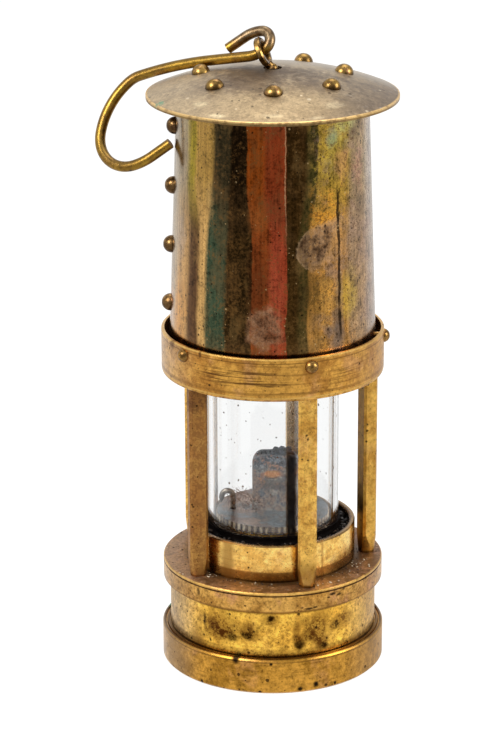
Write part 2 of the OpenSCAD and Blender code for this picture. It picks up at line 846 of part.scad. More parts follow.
module cap() {
    color([0.62, 0.54, 0.42]) difference() {
        intersection() {
            translate([0, 0, cap_centre_z]) difference() {
                sphere(r = cap_sphere_r, $fn = 256);
                sphere(r = cap_under_r, $fn = 256);
            }
            translate([0, 0, hood_top - 2 * cap_rise]) cylinder(r = cap_r, h = 4 * cap_rise, $fn = 256);
        }
        translate([0, 0, hood_top]) cylinder(d = cap_hole_d, h = 2 * cap_rise);
        cap_rivet_holes();
    }
}

module cap_rivets() {
    grip = cap_t + slip + crown_t + 0.1;
    color([0.80, 0.62, 0.30]) at_cap_rivets() {
        dome(cap_head_d, cap_head_h, $fn = 64);
        translate([0, 0, -grip - 0.5]) cylinder(d = rivet_d, h = grip + 1, $fn = 48);
        translate([0, 0, -grip - 1.2]) cylinder(d = rivet_d + 1.8, h = 1.2, $fn = 48);
    }
}

// Swivel and hook

module swivel_eye() {
    joint_z = crown_z - 0.4;
    foot = eye_c - eye_mid_r * eye_up;
    lean = foot - [0, 0, joint_z];
    neck_l = norm(lean);
    w = eye_w / 2;
    t = eye_t / 2;
    c = 0.5;
    color([0.72, 0.57, 0.28]) {
        translate([0, 0, washer_z - 1.6]) cylinder(r = shank_r + 1.2, h = 1.6);
        translate([0, 0, washer_z - 0.5]) cylinder(r = shank_r, h = joint_z - washer_z + 0.5, $fn = 48);
        translate([0, 0, joint_z]) sphere(r = shank_r, $fn = 48);
        translate([0, 0, joint_z]) rotate([0, 0, atan2(lean[1], lean[0])])
            rotate([0, acos(lean[2] / neck_l), 0]) cylinder(r = shank_r - 0.4, h = neck_l, $fn = 48);
        translate(eye_c) rotate([0, 0, -eye_yaw]) rotate([0, 90 - eye_tilt, 0])
            rotate_extrude() translate([eye_mid_r, 0]) polygon([
                [c - w, -t],
                [w - c, -t],
                [w, c - t],
                [w, t - c],
                [w - c, t],
                [c - w, t],
                [-w, t - c],
                [-w, c - t]
            ]);
    }
}

module swivel_washer() {
    color([0.50, 0.40, 0.24]) translate([0, 0, washer_z])
        ring(swivel_washer_d / 2, shank_r + slip, swivel_washer_t);
}

module hook() {
    bends = [for (b = hook_bends) [b[0], b[1], 0]];
    color([0.70, 0.52, 0.24]) translate(hook_c) rotate([-hook_lean, 0, -hook_yaw]) {
        rotate([90, 0, 0]) rotate([0, 0, -crook_low]) rotate_extrude(angle = crook_low + crook_high)
            translate([crook_r, 0]) circle(r = hook_r, $fn = 32);
        for (a = [crook_high, -crook_low]) {
            crook_end_at(a) translate([0, 0, -0.15]) cylinder(r = hook_r + 0.02, h = 0.3, $fn = 32);
        }
        crook_end_at(crook_high) wire([
            [13, 33, 0],
            [crook_end, 0, 0]
        ], hook_r);
        crook_end_at(-crook_low) wire(concat([
            [1.2, 0, 0],
            [10.9, 29.1, 180],
            [hook_run, 0, 180]
        ], bends, [[hook_end, 0, 0]]), hook_r);
    }
}

// Children at one end of the crook's round part, looking along the wire away to the left
module crook_end_at(a) {
    h = abs(abs(a) - 90);
    translate([crook_r * cos(a), 0, crook_r * sin(a)]) rotate([0, -90 - h, 0]) rotate([0, 0, 180])
        children();
}

base_ring();
vessel_body();
vessel_bottom();
fuel_wadding();
vessel_gasket();
burner_disc();
wick_tube();
wick();
pricker_tube();
gland_nut();
pricker_packing();
pricker();
lower_plate();
glass_collar();
glass_seat_ring();
lower_glass_washer();
glass_chimney();
upper_glass_washer();
pillar(0);  // pillar_1
pillar(1);  // pillar_2
pillar(2);  // pillar_3
pillar(3);  // pillar_4
pillar(4);  // pillar_5
upper_plate();
band();
band_screws();
hood_ring();
gauze_ring();
gauze();
hood();
seam_rivets();
crown_plate();
cap();
cap_rivets();
swivel_eye();
swivel_washer();
hook();
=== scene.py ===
"""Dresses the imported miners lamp: finer pieces, procedural finishes, a plain pale studio and the camera."""

from __future__ import annotations

import logging
import math
from dataclasses import dataclass, field
from enum import Enum
from typing import Iterable, Sequence, Union

import bmesh
import bpy
import numpy as np
from mathutils import Matrix, Vector


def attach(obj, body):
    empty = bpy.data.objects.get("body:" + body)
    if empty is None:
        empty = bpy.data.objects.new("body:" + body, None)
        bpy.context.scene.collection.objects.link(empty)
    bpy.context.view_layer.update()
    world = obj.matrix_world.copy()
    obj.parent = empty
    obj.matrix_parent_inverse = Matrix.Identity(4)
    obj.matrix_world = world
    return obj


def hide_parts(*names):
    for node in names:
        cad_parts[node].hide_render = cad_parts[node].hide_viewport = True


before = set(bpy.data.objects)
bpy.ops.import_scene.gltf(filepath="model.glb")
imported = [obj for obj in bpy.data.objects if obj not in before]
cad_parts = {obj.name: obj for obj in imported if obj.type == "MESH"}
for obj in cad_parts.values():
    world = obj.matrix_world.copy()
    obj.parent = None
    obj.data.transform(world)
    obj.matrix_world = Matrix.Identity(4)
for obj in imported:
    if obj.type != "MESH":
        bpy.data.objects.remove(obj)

LOG = logging.getLogger("miners_lamp")
MM = 0.001
RGB = tuple[float, float, float]
Points = list[tuple[float, float, float]]
Faces = list[tuple[int, ...]]
Feed = Union["Sock", float, Sequence[float]]


def paint(code: str) -> RGB:
    """Linear colour of a six-digit colour code.

    Args:
        code: red, green and blue as hexadecimal pairs.

    Returns:
        The three linear parts, from 0 to 1.
    """
    parts = [int(code[i : i + 2], 16) / 255 for i in (0, 2, 4)]
    return tuple(c / 12.92 if c <= 0.04045 else ((c + 0.055) / 1.055) ** 2.4 for c in parts)


# Node trees as expressions


class Sock:
    """A node's output that takes part in arithmetic; each operation adds its Math node."""

    def __init__(self, graph: "Graph", out: bpy.types.NodeSocket) -> None:
        """Wraps the output `out` of a node in `graph`."""
        self.graph = graph
        self.out = out

    def math(self, operation: str, *others: Feed) -> "Sock":
        """Math node with this value first.

        Args:
            operation: the Math node's operation.
            others: its further values.

        Returns:
            The result.
        """
        return self.graph.math(operation, self, *others)

    def __add__(self, other: Feed) -> "Sock":
        """Sum."""
        return self.math("ADD", other)

    __radd__ = __add__

    def __sub__(self, other: Feed) -> "Sock":
        """Difference."""
        return self.math("SUBTRACT", other)

    def __rsub__(self, other: Feed) -> "Sock":
        """Reflected difference."""
        return self.graph.math("SUBTRACT", other, self)

    def __mul__(self, other: Feed) -> "Sock":
        """Product."""
        return self.math("MULTIPLY", other)

    __rmul__ = __mul__

    def __truediv__(self, other: Feed) -> "Sock":
        """Quotient."""
        return self.math("DIVIDE", other)

    def __rtruediv__(self, other: Feed) -> "Sock":
        """Reflected quotient."""
        return self.graph.math("DIVIDE", other, self)

    def __pow__(self, other: Feed) -> "Sock":
        """Power."""
        return self.math("POWER", other)

    def __neg__(self) -> "Sock":
        """Negative."""
        return self.math("MULTIPLY", -1.0)

    def __abs__(self) -> "Sock":
        """Size without sign."""
        return self.math("ABSOLUTE")

    def step(self, low: float, high: float) -> "Sock":
        """Smooth step from 0 at `low` to 1 at `high`, which may be the lower one."""
        settings = {"interpolation_type": "SMOOTHSTEP"}
        if low > high:
            return 1.0 - self.step(high, low)
        values = {"Value": self, "From Min": low, "From Max": high}
        return Sock(self.graph, self.graph.node("ShaderNodeMapRange", settings, values).outputs[0])

    def near(self, place: float, width: float, full: float = 0.35) -> "Sock":
        """1 at `place`, falling to 0 at `width` away from it; `full` is the share of that width that stays 1."""
        return abs(self - place).step(width, width * full)


class Graph:
    """Builds one node tree, for a shader or for geometry."""

    def __init__(self, tree: bpy.types.NodeTree) -> None:
        """Takes the node tree to build in."""
        self.tree = tree

    def node(self, kind: str, settings: dict | None = None, values: dict | None = None) -> bpy.types.Node:
        """Adds a node.

        Args:
            kind: the node's type.
            settings: properties, set first; `stops` fills a colour ramp.
            values: numbers, colours or links for its sockets, by name or index.

        Returns:
            The node.
        """
        made = self.tree.nodes.new(kind)
        for key, value in (settings or {}).items():
            if key == "stops":
                self._fill(made.color_ramp, value)
            else:
                setattr(made, key, value)
        for key, value in (values or {}).items():
            self.feed(made.inputs[key], value)
        return made

    @staticmethod
    def _fill(ramp: bpy.types.ColorRamp, stops: Sequence[tuple[float, RGB]]) -> None:
        """Sets a colour ramp's stops, given as place and colour."""
        while len(ramp.elements) > 1:
            ramp.elements.remove(ramp.elements[-1])
        ramp.elements[0].position = stops[0][0]
        ramp.elements[0].color = (*stops[0][1], 1.0)
        for place, colour in stops[1:]:
            ramp.elements.new(place).color = (*colour, 1.0)

    def feed(self, socket: bpy.types.NodeSocket, value: Feed) -> None:
        """Links a wrapped socket to an input, or sets the input's own value."""
        if isinstance(value, Sock):
            self.tree.links.new(value.out, socket)
        elif isinstance(value, bpy.types.NodeSocket):
            self.tree.links.new(value, socket)
        elif socket.type == "RGBA":
            socket.default_value = (*value, 1.0)
        else:
            socket.default_value = value

    def math(self, operation: str, *values: Feed) -> Sock:
        """Math node on numbers or sockets.

        Args:
            operation: the Math node's operation.
            values: its values, in order.

        Returns:
            The result.
        """
        feeds = dict(enumerate(values))
        return Sock(self, self.node("ShaderNodeMath", {"operation": operation}, feeds).outputs[0])

    def vector(self, operation: str, *values: Feed, scale: float | None = None) -> Sock:
        """Vector Math node.

        Args:
            operation: the node's operation.
            values: its vectors, in order.
            scale: the factor of a SCALE operation.

        Returns:
            The vector that results.
        """
        feeds: dict = dict(enumerate(values))
        if scale is not None:
            feeds["Scale"] = scale
        return Sock(self, self.node("ShaderNodeVectorMath", {"operation": operation}, feeds).outputs[0])

    def join(self, x: Feed, y: Feed, z: Feed) -> Sock:
        """Vector of three numbers."""
        return Sock(self, self.node("ShaderNodeCombineXYZ", None, {0: x, 1: y, 2: z}).outputs[0])

    def split(self, vector: Sock) -> tuple[Sock, Sock, Sock]:
        """The three numbers of a vector."""
        made = self.node("ShaderNodeSeparateXYZ", None, {0: vector})
        return tuple(Sock(self, out) for out in made.outputs)

    def blend(self, share: Feed, first: Feed, second: Feed, mode: str = "MIX") -> Sock:
        """Mixes two colours.

        Args:
            share: 0 for the first colour, 1 for the second.
            first: a colour.
            second: a colour.
            mode: the Mix node's blend type.

        Returns:
            The mixed colour.
        """
        settings = {"data_type": "RGBA", "blend_type": mode}
        return Sock(self, self.node("ShaderNodeMix", settings, {0: share, 6: first, 7: second}).outputs[2])


class Surface(Graph):
    """A material in the making. Places are in millimetres in the lamp's frame, turns in degrees from the front."""

    def __init__(self, name: str) -> None:
        """Starts the material `name` and its coordinates."""
        self.material = bpy.data.materials.new(name)
        self.material.use_nodes = True
        super().__init__(self.material.node_tree)
        self.tree.nodes.clear()
        place = Sock(self, self.node("ShaderNodeTexCoord").outputs["Object"])
        self.p = self.vector("SCALE", place, scale=1 / MM)
        self.x, self.y, self.z = self.split(self.p)
        self.radius = self.math("SQRT", self.x * self.x + self.y * self.y)
        self.turn = self.math("ARCTAN2", self.x, -self.y) * math.degrees(1)
        facing = Sock(self, self.node("ShaderNodeNewGeometry").outputs["Normal"])
        across, along, self.upward = self.split(facing)
        self.outward = (across * self.x + along * self.y) / self.radius

    def at(self, stretch: Sequence[float] = (1, 1, 1), seed: float = 0.0) -> Sock:
        """The place, stretched along the axes and moved on by a seed."""
        moved = self.vector("MULTIPLY", self.p, tuple(stretch))
        return self.vector("ADD", moved, (seed * 13.1, seed * 7.7, seed * 29.3))

    def noise(self, size: float, seed: float = 0.0, detail: float = 3.0, rough: float = 0.55,
              stretch: Sequence[float] = (1, 1, 1), warp: float = 0.0) -> Sock:
        """Cloudy noise from 0 to 1.

        Args:
            size: size of its clouds in millimetres.
            seed: another number gives another pattern.
            detail: octaves of finer clouds.
            rough: weight of the finer clouds.
            stretch: factors on the axes; a small one draws streaks along that axis.
            warp: distortion.

        Returns:
            The noise.
        """
        values = {"Vector": self.at(stretch, seed), "Scale": 1 / size, "Detail": detail,
                  "Roughness": rough, "Distortion": warp}
        return Sock(self, self.node("ShaderNodeTexNoise", None, values).outputs[0])

    def specks(self, size: float, share: float, seed: float = 0.0,
               stretch: Sequence[float] = (1, 1, 1)) -> Sock:
        """Round specks strewn over the surface.

        Args:
            size: spacing of the cells that may hold a speck, in millimetres.
            share: the share of the cells that hold one.
            seed: another number gives another pattern.
            stretch: factors on the axes.

        Returns:
            A mask, 1 inside a speck.
        """
        values = {"Vector": self.at(stretch, seed), "Scale": 1 / size}
        cells = self.node("ShaderNodeTexVoronoi", None, values)
        away = Sock(self, cells.outputs["Distance"])
        chance, spread, _ = self.split(Sock(self, cells.outputs["Color"]))
        chosen = chance.step(1 - share, 1 - share + 0.02)
        reach = spread * spread * 0.22 + 0.07 + (self.noise(size * 0.35, seed) - 0.5) * 0.3
        return (reach - away).step(-0.02, 0.05) * chosen

    def shade(self, colour: Feed, level: Feed) -> Sock:
        """A colour made lighter or darker by a factor."""
        return self.blend(1.0, colour, level, "MULTIPLY")

    def patch(self, turn: float, z: float, wide: float, high: float, ragged: float = 0.5,
              seed: float = 0.0, grain: float = 3.0, soft: float = 0.6) -> Sock:
        """A ragged patch on a turned surface.

        Args:
            turn: direction of its middle.
            z: height of its middle.
            wide: half its width in degrees.
            high: half its height.
            ragged: how far noise pulls its edge.
            seed: another number gives another edge.
            grain: size of the edge's noise in millimetres.
            soft: width of its fading edge, as a share of its size.

        Returns:
            A mask, 1 in the patch.
        """
        u, v = (self.turn - turn) / wide, (self.z - z) / high
        edge = self.math("SQRT", u * u + v * v) + (self.noise(grain, seed + 3.0, detail=4) - 0.5) * 2 * ragged
        return edge.step(1.0 + soft / 2, 1.0 - soft / 2)

    def close(self, colour: Feed, rough: Feed, metal: Feed = 1.0, height: Sock | None = None,
              depth: float = 0.05, **more: Feed) -> bpy.types.Material:
        """Ends the material with its shader.

        Args:
            colour: base colour.
            rough: roughness.
            metal: metallic share.
            height: relief from 0 to 1.
            depth: the relief's depth in millimetres.
            more: further sockets of the shader, words joined by underscores.

        Returns:
            The material.
        """
        values = {"Base Color": colour, "Roughness": rough, "Metallic": metal}
        values.update({key.replace("_", " ").title().replace("Ior", "IOR"): value for key, value in more.items()})
        if height is not None:
            bump = {"Height": height, "Distance": depth * MM, "Strength": 1.0}
            values["Normal"] = Sock(self, self.node("ShaderNodeBump", None, bump).outputs[0])
        shader = self.node("ShaderNodeBsdfPrincipled", None, values)
        self.node("ShaderNodeOutputMaterial", None, {"Surface": shader.outputs[0]})
        return self.material


# Finishes


class Mark(Enum):
    """What a line on a turned piece is measured by."""

    HEIGHT = "z"
    RADIUS = "radius"


@dataclass(frozen=True)
class Line:
    """A line round a turned piece, such as a rubbed edge, or a groove dark with dirt and painted contact shade.

    Args:
        by: height or radius.
        place: where it lies, in millimetres.
        width: half its width.
        colour: its colour.
        share: how strongly it covers.
        full: share of the width that it covers fully.
    """

    by: Mark
    place: float
    width: float
    colour: RGB
    share: float = 0.8
    full: float = 0.35


@dataclass(frozen=True)
class Stain:
    """A ragged stain on a turned piece.

    Args:
        turn: direction of its middle.
        z: height of its middle.
        wide: half its width in degrees.
        high: half its height.
        share: how strongly it covers.
        colour: its colour.
        grain: how far it breaks up into specks.
        ragged: how far its edge wanders.
    """

    turn: float
    z: float
    wide: float
    high: float
    share: float = 0.8
    colour: RGB = paint("4A2E12")
    grain: float = 0.7
    ragged: float = 0.9


@dataclass(frozen=True)
class Brass:
    """Old brass: gold under brown tarnish, with rubbed edges, dark pits and turning marks, painted sheen on its flanks
    and painted shade on inward faces and undersides.
    """

    name: str
    gold: RGB = paint("C79A45")
    deep: RGB = paint("9C7430")
    brown: RGB = paint("5E4020")
    rose: RGB = paint("B98468")
    brown_share: float = 0.35
    rose_share: float = 0.15
    cloud: float = 16.0
    pit: float = 2.4
    pit_share: float = 0.16
    streaks: Sequence[float] = (0.05, 0.05, 1.0)
    streak_share: float = 0.25
    rough: float = 0.3
    contrast: float = 0.9
    flank_sheen: float = 0.0
    freckles: float = 0.35
    inward: float = 0.0
    underside_shade: float = 0.0
    lines: tuple[Line, ...] = ()
    stains: tuple[Stain, ...] = ()
    scuffs: tuple[Stain, ...] = ()
    seed: float = 0.0

    def coat(self, s: Surface) -> tuple[Sock, Sock, Sock]:
        """Colour, roughness and relief, before what a special piece adds.

        Args:
            s: the material in the making.

        Returns:
            Base colour, roughness and relief.
        """
        clouds = s.noise(self.cloud, self.seed, detail=5, rough=0.6)
        mottle = s.noise(3.2, self.seed + 6, detail=6, rough=0.72)
        fine = s.noise(1.3, self.seed + 1, detail=5, rough=0.75)
        streak = s.noise(0.9, self.seed + 2, detail=4, rough=0.65, stretch=self.streaks)
        clump, pepper = mottle.step(0.34, 0.66), fine.step(0.36, 0.64)
        colour = s.blend((clouds + (mottle - 0.5) * 0.6).step(0.36, 0.62), self.deep, self.gold)
        blush = s.noise(self.cloud * 0.8, self.seed + 3, detail=4, warp=0.6) + (mottle - 0.5) * 0.3
        colour = s.blend(blush.step(0.52, 0.72) * self.rose_share * 2, colour, self.rose)
        low = 0.74 - 0.3 * self.brown_share
        brown = s.noise(self.cloud * 0.5, self.seed + 4, detail=7, rough=0.72) + (fine - 0.5) * 0.25
        browned = brown.step(low - 0.02, low + 0.12)
        colour = s.blend(browned * 0.7, colour, self.brown)
        colour = s.blend(streak.step(0.52, 0.7) * self.streak_share, colour, self.brown)
        # Painted sheen: the sides seen from the front are laid over with pale beige, for the white surroundings that
        # they reflect.
        flank_sheen = (abs(s.x) / s.radius).step(0.62, 0.96) * self.flank_sheen * s.x.step(80.0, -20.0)
        colour = s.blend(flank_sheen, colour, s.blend(clump, paint("A8906C"), paint("CDB794")))
        colour = s.shade(colour, (clump - 0.5) * self.contrast * 0.42 + (pepper - 0.5) * self.contrast * 0.6 + 1.02)
        colour = s.blend(fine.step(0.43, 0.36) * self.freckles, colour, self.brown)
        # Painted shade and light on faces turned in towards the glass: dark brown at the front of the lamp, pale grey
        # at the back.
        inward_shade_share = s.outward.step(-0.3, -0.7) * self.inward
        inward_shade_brown = s.blend(clump, paint("3A240E"), paint("6E4A22"))
        colour = s.blend(inward_shade_share, colour, s.blend(s.y.step(20.0, 30.0), inward_shade_brown, paint("C6B8A6")))
        # Painted shade on faces turned downwards, in brown.
        colour = s.blend(s.upward.step(0.5, -0.1) * self.underside_shade, colour, self.brown)
        rough = self.rough + browned * 0.16 + (mottle - 0.5) * 0.25 + (fine - 0.5) * 0.2 + (streak - 0.5) * 0.12
        for line in self.lines:
            where = s.z if line.by is Mark.HEIGHT else s.radius
            broken = (mottle - 0.5) * 0.6 + 0.85
            band = where.near(line.place, line.width, line.full)
            colour = s.blend(band * line.share * broken, colour, line.colour)
        for i, stain in enumerate(self.stains):
            mask = s.patch(stain.turn, stain.z, stain.wide, stain.high, stain.ragged, self.seed + i,
                           min(stain.high, 3.0), 1.1)
            speckle = (fine + (mottle - 0.5) * 0.7).step(0.46, 0.52)
            colour = s.blend(mask * (1 - stain.grain + speckle * stain.grain) * stain.share, colour, stain.colour)
            rough = rough + mask * 0.12
        for i, scuff in enumerate(self.scuffs):
            mask = s.patch(scuff.turn, scuff.z, scuff.wide, scuff.high, 0.6, self.seed + i, 4.0, 1.2)
            colour = s.blend(streak.step(0.5, 0.58) * mask * scuff.share, colour, scuff.colour)
        pits = s.specks(self.pit, self.pit_share, self.seed)
        tiny = s.specks(self.pit * 0.45, self.pit_share * 1.6, self.seed + 5)
        dark = s.math("MAXIMUM", pits, tiny * 0.7)
        colour = s.blend(dark * 0.85, colour, paint("2A1B0E"))
        relief = 0.6 + (fine - 0.5) * 0.35 + (streak - 0.5) * 0.25 + (mottle - 0.5) * 0.3 - dark * 0.6
        return colour, rough + dark * 0.2, relief

    def material(self) -> bpy.types.Material:
        """The finished material."""
        s = Surface(self.name)
        colour, rough, relief = self.coat(s)
        return s.close(colour, rough, 1.0, relief, 0.03)


@dataclass(frozen=True)
class DustyBrass(Brass):
    """Brass whose upward faces have gone dull brown, with dark dirt and painted shade in the corner by the collar, and
    pale dust.
    """

    dust: RGB = paint("82624C")
    dust_share: float = 0.9
    inner: float = 32.6
    outer: float = 43.5

    def material(self) -> bpy.types.Material:
        """The finished material."""
        s = Surface(self.name)
        colour, rough, relief = self.coat(s)
        up = s.upward.step(0.6, 0.95)
        cloud = s.noise(4.5, 8, detail=7, rough=0.72)
        fine = s.noise(1.2, 7, detail=5, rough=0.75).step(0.34, 0.66)
        dull = s.blend(cloud.step(0.4, 0.56), self.dust, paint("4E3220"))
        dull = s.blend((s.turn + (cloud - 0.5) * 60.0).step(-30.0, -58.0) * 0.5, dull, paint("9A8068"))
        # Dark dirt and painted shade where the plate meets the collar.
        grime_and_shade = (s.radius + (cloud - 0.5) * 12.0).step(self.inner + 5.0, self.inner + 0.5)
        dull = s.blend(grime_and_shade * 0.85, dull, paint("1E130C"))
        dull = s.shade(dull, (fine - 0.5) * 0.9 + 1.0)
        dull = s.blend(s.specks(2.0, 0.3, 9) * 0.7, dull, paint("C2A88C"))
        dull = s.blend(s.specks(1.8, 0.4, 10) * 0.85, dull, paint("1E130C"))
        worn = (s.radius + (cloud - 0.5) * 2.0).step(self.outer - 0.8, self.outer)
        share = up * (0.8 + cloud * 0.3) * (1.0 - worn * 0.7) * self.dust_share
        colour = s.blend(share, colour, dull)
        return s.close(colour, rough + share * 0.22, 1.0 - share * 0.4, relief, 0.03)


@dataclass(frozen=True)
class Edge:
    """An upright edge in the hood's tarnish and painted reflections, given going left to right.

    Args:
        top: its direction high on the hood.
        low: its direction low on the hood.
        soft: half its width in degrees.
        high: the colour right of it, high on the hood.
        below: the colour right of it, low on the hood.
    """

    top: float
    low: float
    soft: float
    high: RGB
    below: RGB


@dataclass(frozen=True)
class HoodBrass(Brass):
    """Polished sheet brass in upright bands of heat tarnish and painted reflections: beige, teal, black, red, brown and
    gold.

    Args:
        edges: the bands' edges, from the left of the back round the front to its right.
        turning: heights between which the edges change from their high to their low place.
    """

    edges: tuple[Edge, ...] = ()
    turning: tuple[float, float] = (206.0, 178.0)

    def bands(self, s: Surface, blotch: Sock) -> Sock:
        """The bands' colours.

        Args:
            s: the material in the making.
            blotch: fine clouds that break up the edges.

        Returns:
            The colour.
        """
        low = s.z.step(*self.turning)
        sway = (s.noise(30.0, 21, detail=1.5, stretch=(0.3, 0.3, 1.0)) - 0.5) * 5.0
        flutter = (s.noise(2.2, 22, detail=5, rough=0.65, stretch=(1, 1, 0.5)) - 0.5) * 1.8
        turn = s.turn + sway + flutter + (blotch - 0.5) * 1.5
        colour: Feed = self.brown
        for edge in self.edges:
            past = (turn - (low * (edge.low - edge.top) + edge.top)).step(-edge.soft, edge.soft)
            colour = s.blend(past, colour, s.blend(low, edge.high, edge.below))
        # Painted highlight: a thin bright line at 7.1° on the upper hood.
        rim = turn.near(7.1, 0.4) * s.z.step(176.0, 196.0)
        return s.blend(rim * 0.75, colour, paint("E2B486"))

    def material(self) -> bpy.types.Material:
        """The finished material."""
        s = Surface(self.name)
        blotch = s.noise(5.5, 25, detail=7, rough=0.7)
        fine = s.noise(1.2, 24, detail=5, rough=0.75)
        grain = s.noise(1.0, 23, detail=5, rough=0.65, stretch=(1, 1, 0.04))
        clump, pepper, lines = blotch.step(0.34, 0.66), fine.step(0.36, 0.64), grain.step(0.36, 0.64)
        colour = self.bands(s, blotch)
        cloudy = s.noise(12.0, 32, detail=6, rough=0.66, stretch=(1, 1, 0.6))
        colour = s.blend(cloudy.step(0.5, 0.62) * 0.3, colour, paint("6E5030"))
        colour = s.blend(cloudy.step(0.46, 0.36) * 0.24, colour, paint("A8834E"))
        right = s.turn.step(19.0, 27.0) * s.turn.step(150.0, 100.0)
        front = s.turn.step(-60.0, -40.0) * s.turn.step(60.0, 40.0)
        left = s.turn.step(-88.0, -78.0) * s.turn.step(-54.0, -60.0)
        tan = (s.noise(6.0, 33, detail=6, rough=0.7, stretch=(1, 1, 0.3)) + (fine - 0.5) * 0.4).step(0.44, 0.6)
        colour = s.blend(tan * left * 0.55, colour, s.blend(s.z.step(190.0, 150.0), paint("8C7A5A"), paint("C08C50")))
        middle = s.turn.step(19.0, 24.0) * s.turn.step(50.0, 42.0)
        pale = (blotch + (fine - 0.5) * 0.5).step(0.5, 0.6) * middle
        colour = s.blend(pale * 0.7, colour, s.blend(s.z.step(206.0, 196.0), paint("B89C40"), paint("D08C30")))
        soiled = s.noise(5.0, 34, detail=7, rough=0.72, stretch=(1, 1, 0.7)).step(0.5, 0.62) * right
        colour = s.blend(soiled * 0.45, colour, paint("6A4E2C"))
        mauve = (s.noise(10.0, 26, detail=6, rough=0.62) + (fine - 0.5) * 0.4).step(0.48, 0.64) * right
        colour = s.blend(mauve * 0.5, colour, paint("A08474"))
        green = s.turn.step(34.0, 42.0) * s.turn.step(62.0, 50.0) * (s.z + (blotch - 0.5) * 30.0).step(216.0, 226.0)
        colour = s.blend(green * 0.5, colour, paint("9AA86C"))
        for i, stain in enumerate(self.stains):
            mask = s.patch(stain.turn, stain.z, stain.wide, stain.high, stain.ragged, 35 + i, 5.0, 1.2)
            speckle = (fine + (blotch - 0.5) * 0.6).step(0.44, 0.54)
            colour = s.blend(mask * (1 - stain.grain + speckle * stain.grain) * stain.share, colour, stain.colour)
        peppered = (fine + (blotch - 0.5) * 0.5).step(0.52, 0.6)
        colour = s.blend(peppered * (0.45 + right * 0.28), colour, paint("3C2612"))
        drift = abs(s.z - 177.5)
        lift = s.z - s.turn * 0.16
        torn = (blotch - 0.5) * 14.0 + (fine - 0.5) * 6.0
        smear = ((s.turn - 12.0 - drift * drift * 0.12 + torn * 0.3).step(0.0, 2.2)
                 * (lift + torn * 0.35).step(184.0, 181.0) * (lift + torn).step(164.0, 170.0)
                 * (s.turn + torn).step(46.0, 36.0))
        smear = smear * (1.0 - (s.turn - 20.0 - (s.z - 168.0) * 1.1 + torn * 0.4).step(-2.0, 5.0) * 0.6)
        edge_lit = smear * (1.0 - smear) * 4.0
        scum = s.blend(clump, paint("5A402C"), paint("907254"))
        colour = s.blend(smear * (0.95 - peppered * 0.5), colour, scum)
        colour = s.blend(edge_lit * (0.15 + s.turn.step(22.0, 14.0) * 0.3), colour, paint("C4A078"))
        foot = s.patch(-4.5, 148.0, 9.5, 8.5, 0.9, 27, 6.0, 0.5)
        colour = s.blend(foot * (0.9 - peppered * 0.5), colour, s.blend(clump, paint("70482F"), paint("AC8464")))
        wash = (s.z + (blotch - 0.5) * 24.0).step(146.0, 130.0)
        colour = s.blend(wash * 0.4, colour, paint("8E6840"))
        crack = s.turn + (s.noise(7.0, 28, stretch=(0.1, 0.1, 1.0)) - 0.5) * 2.4
        width = s.noise(4.0, 38, detail=3) * 1.6
        dark_line = (crack.near(39.6, 1.5) + width - 1.2).step(0.1, 0.5) * s.z.step(139.0, 145.0) * s.z.step(204.0, 196.0)
        bruise = crack.near(39.6, 4.0) * s.z.step(139.0, 150.0) * s.z.step(176.0, 160.0)
        colour = s.blend(bruise * 0.5, colour, paint("6A5648"))
        colour = s.blend(dark_line * 0.9, colour, paint("20140C"))
        level = (clump - 0.5) * (right * 0.4 + 0.55) + (pepper - 0.5) * 0.75 + (lines - 0.5) * 0.35
        colour = s.shade(colour, level + 1.04)
        gilt = (fine + (blotch - 0.5) * 0.7 + s.z.step(200.0, 150.0) * 0.02).step(0.57, 0.66) * front
        colour = s.blend(gilt * 0.45, colour, paint("7A5A30"))
        pits = s.specks(1.7, 0.35, 29)
        dots = s.specks(1.4, 0.3, 30) * (blotch + (fine - 0.5)).step(0.46, 0.54)
        colour = s.blend(pits * 0.85, colour, paint("1C120A"))
        colour = s.blend(dots * (0.15 + front * 0.55), colour, paint("C8A878"))
        rough = 0.19 + (blotch - 0.5) * 0.16 + (fine - 0.5) * 0.16 + (smear + foot) * 0.14 + right * 0.05
        dent = s.patch(-4.6, 154.0, 3.4, 2.6, 0.2, 31, 2.0, 1.6)
        relief = 0.6 + (grain - 0.5) * 0.12 + (fine - 0.5) * 0.2 - pits * 0.3 - dark_line * 0.5 - dent * 2.0
        return s.close(colour, rough, 1.0, relief, 0.025)


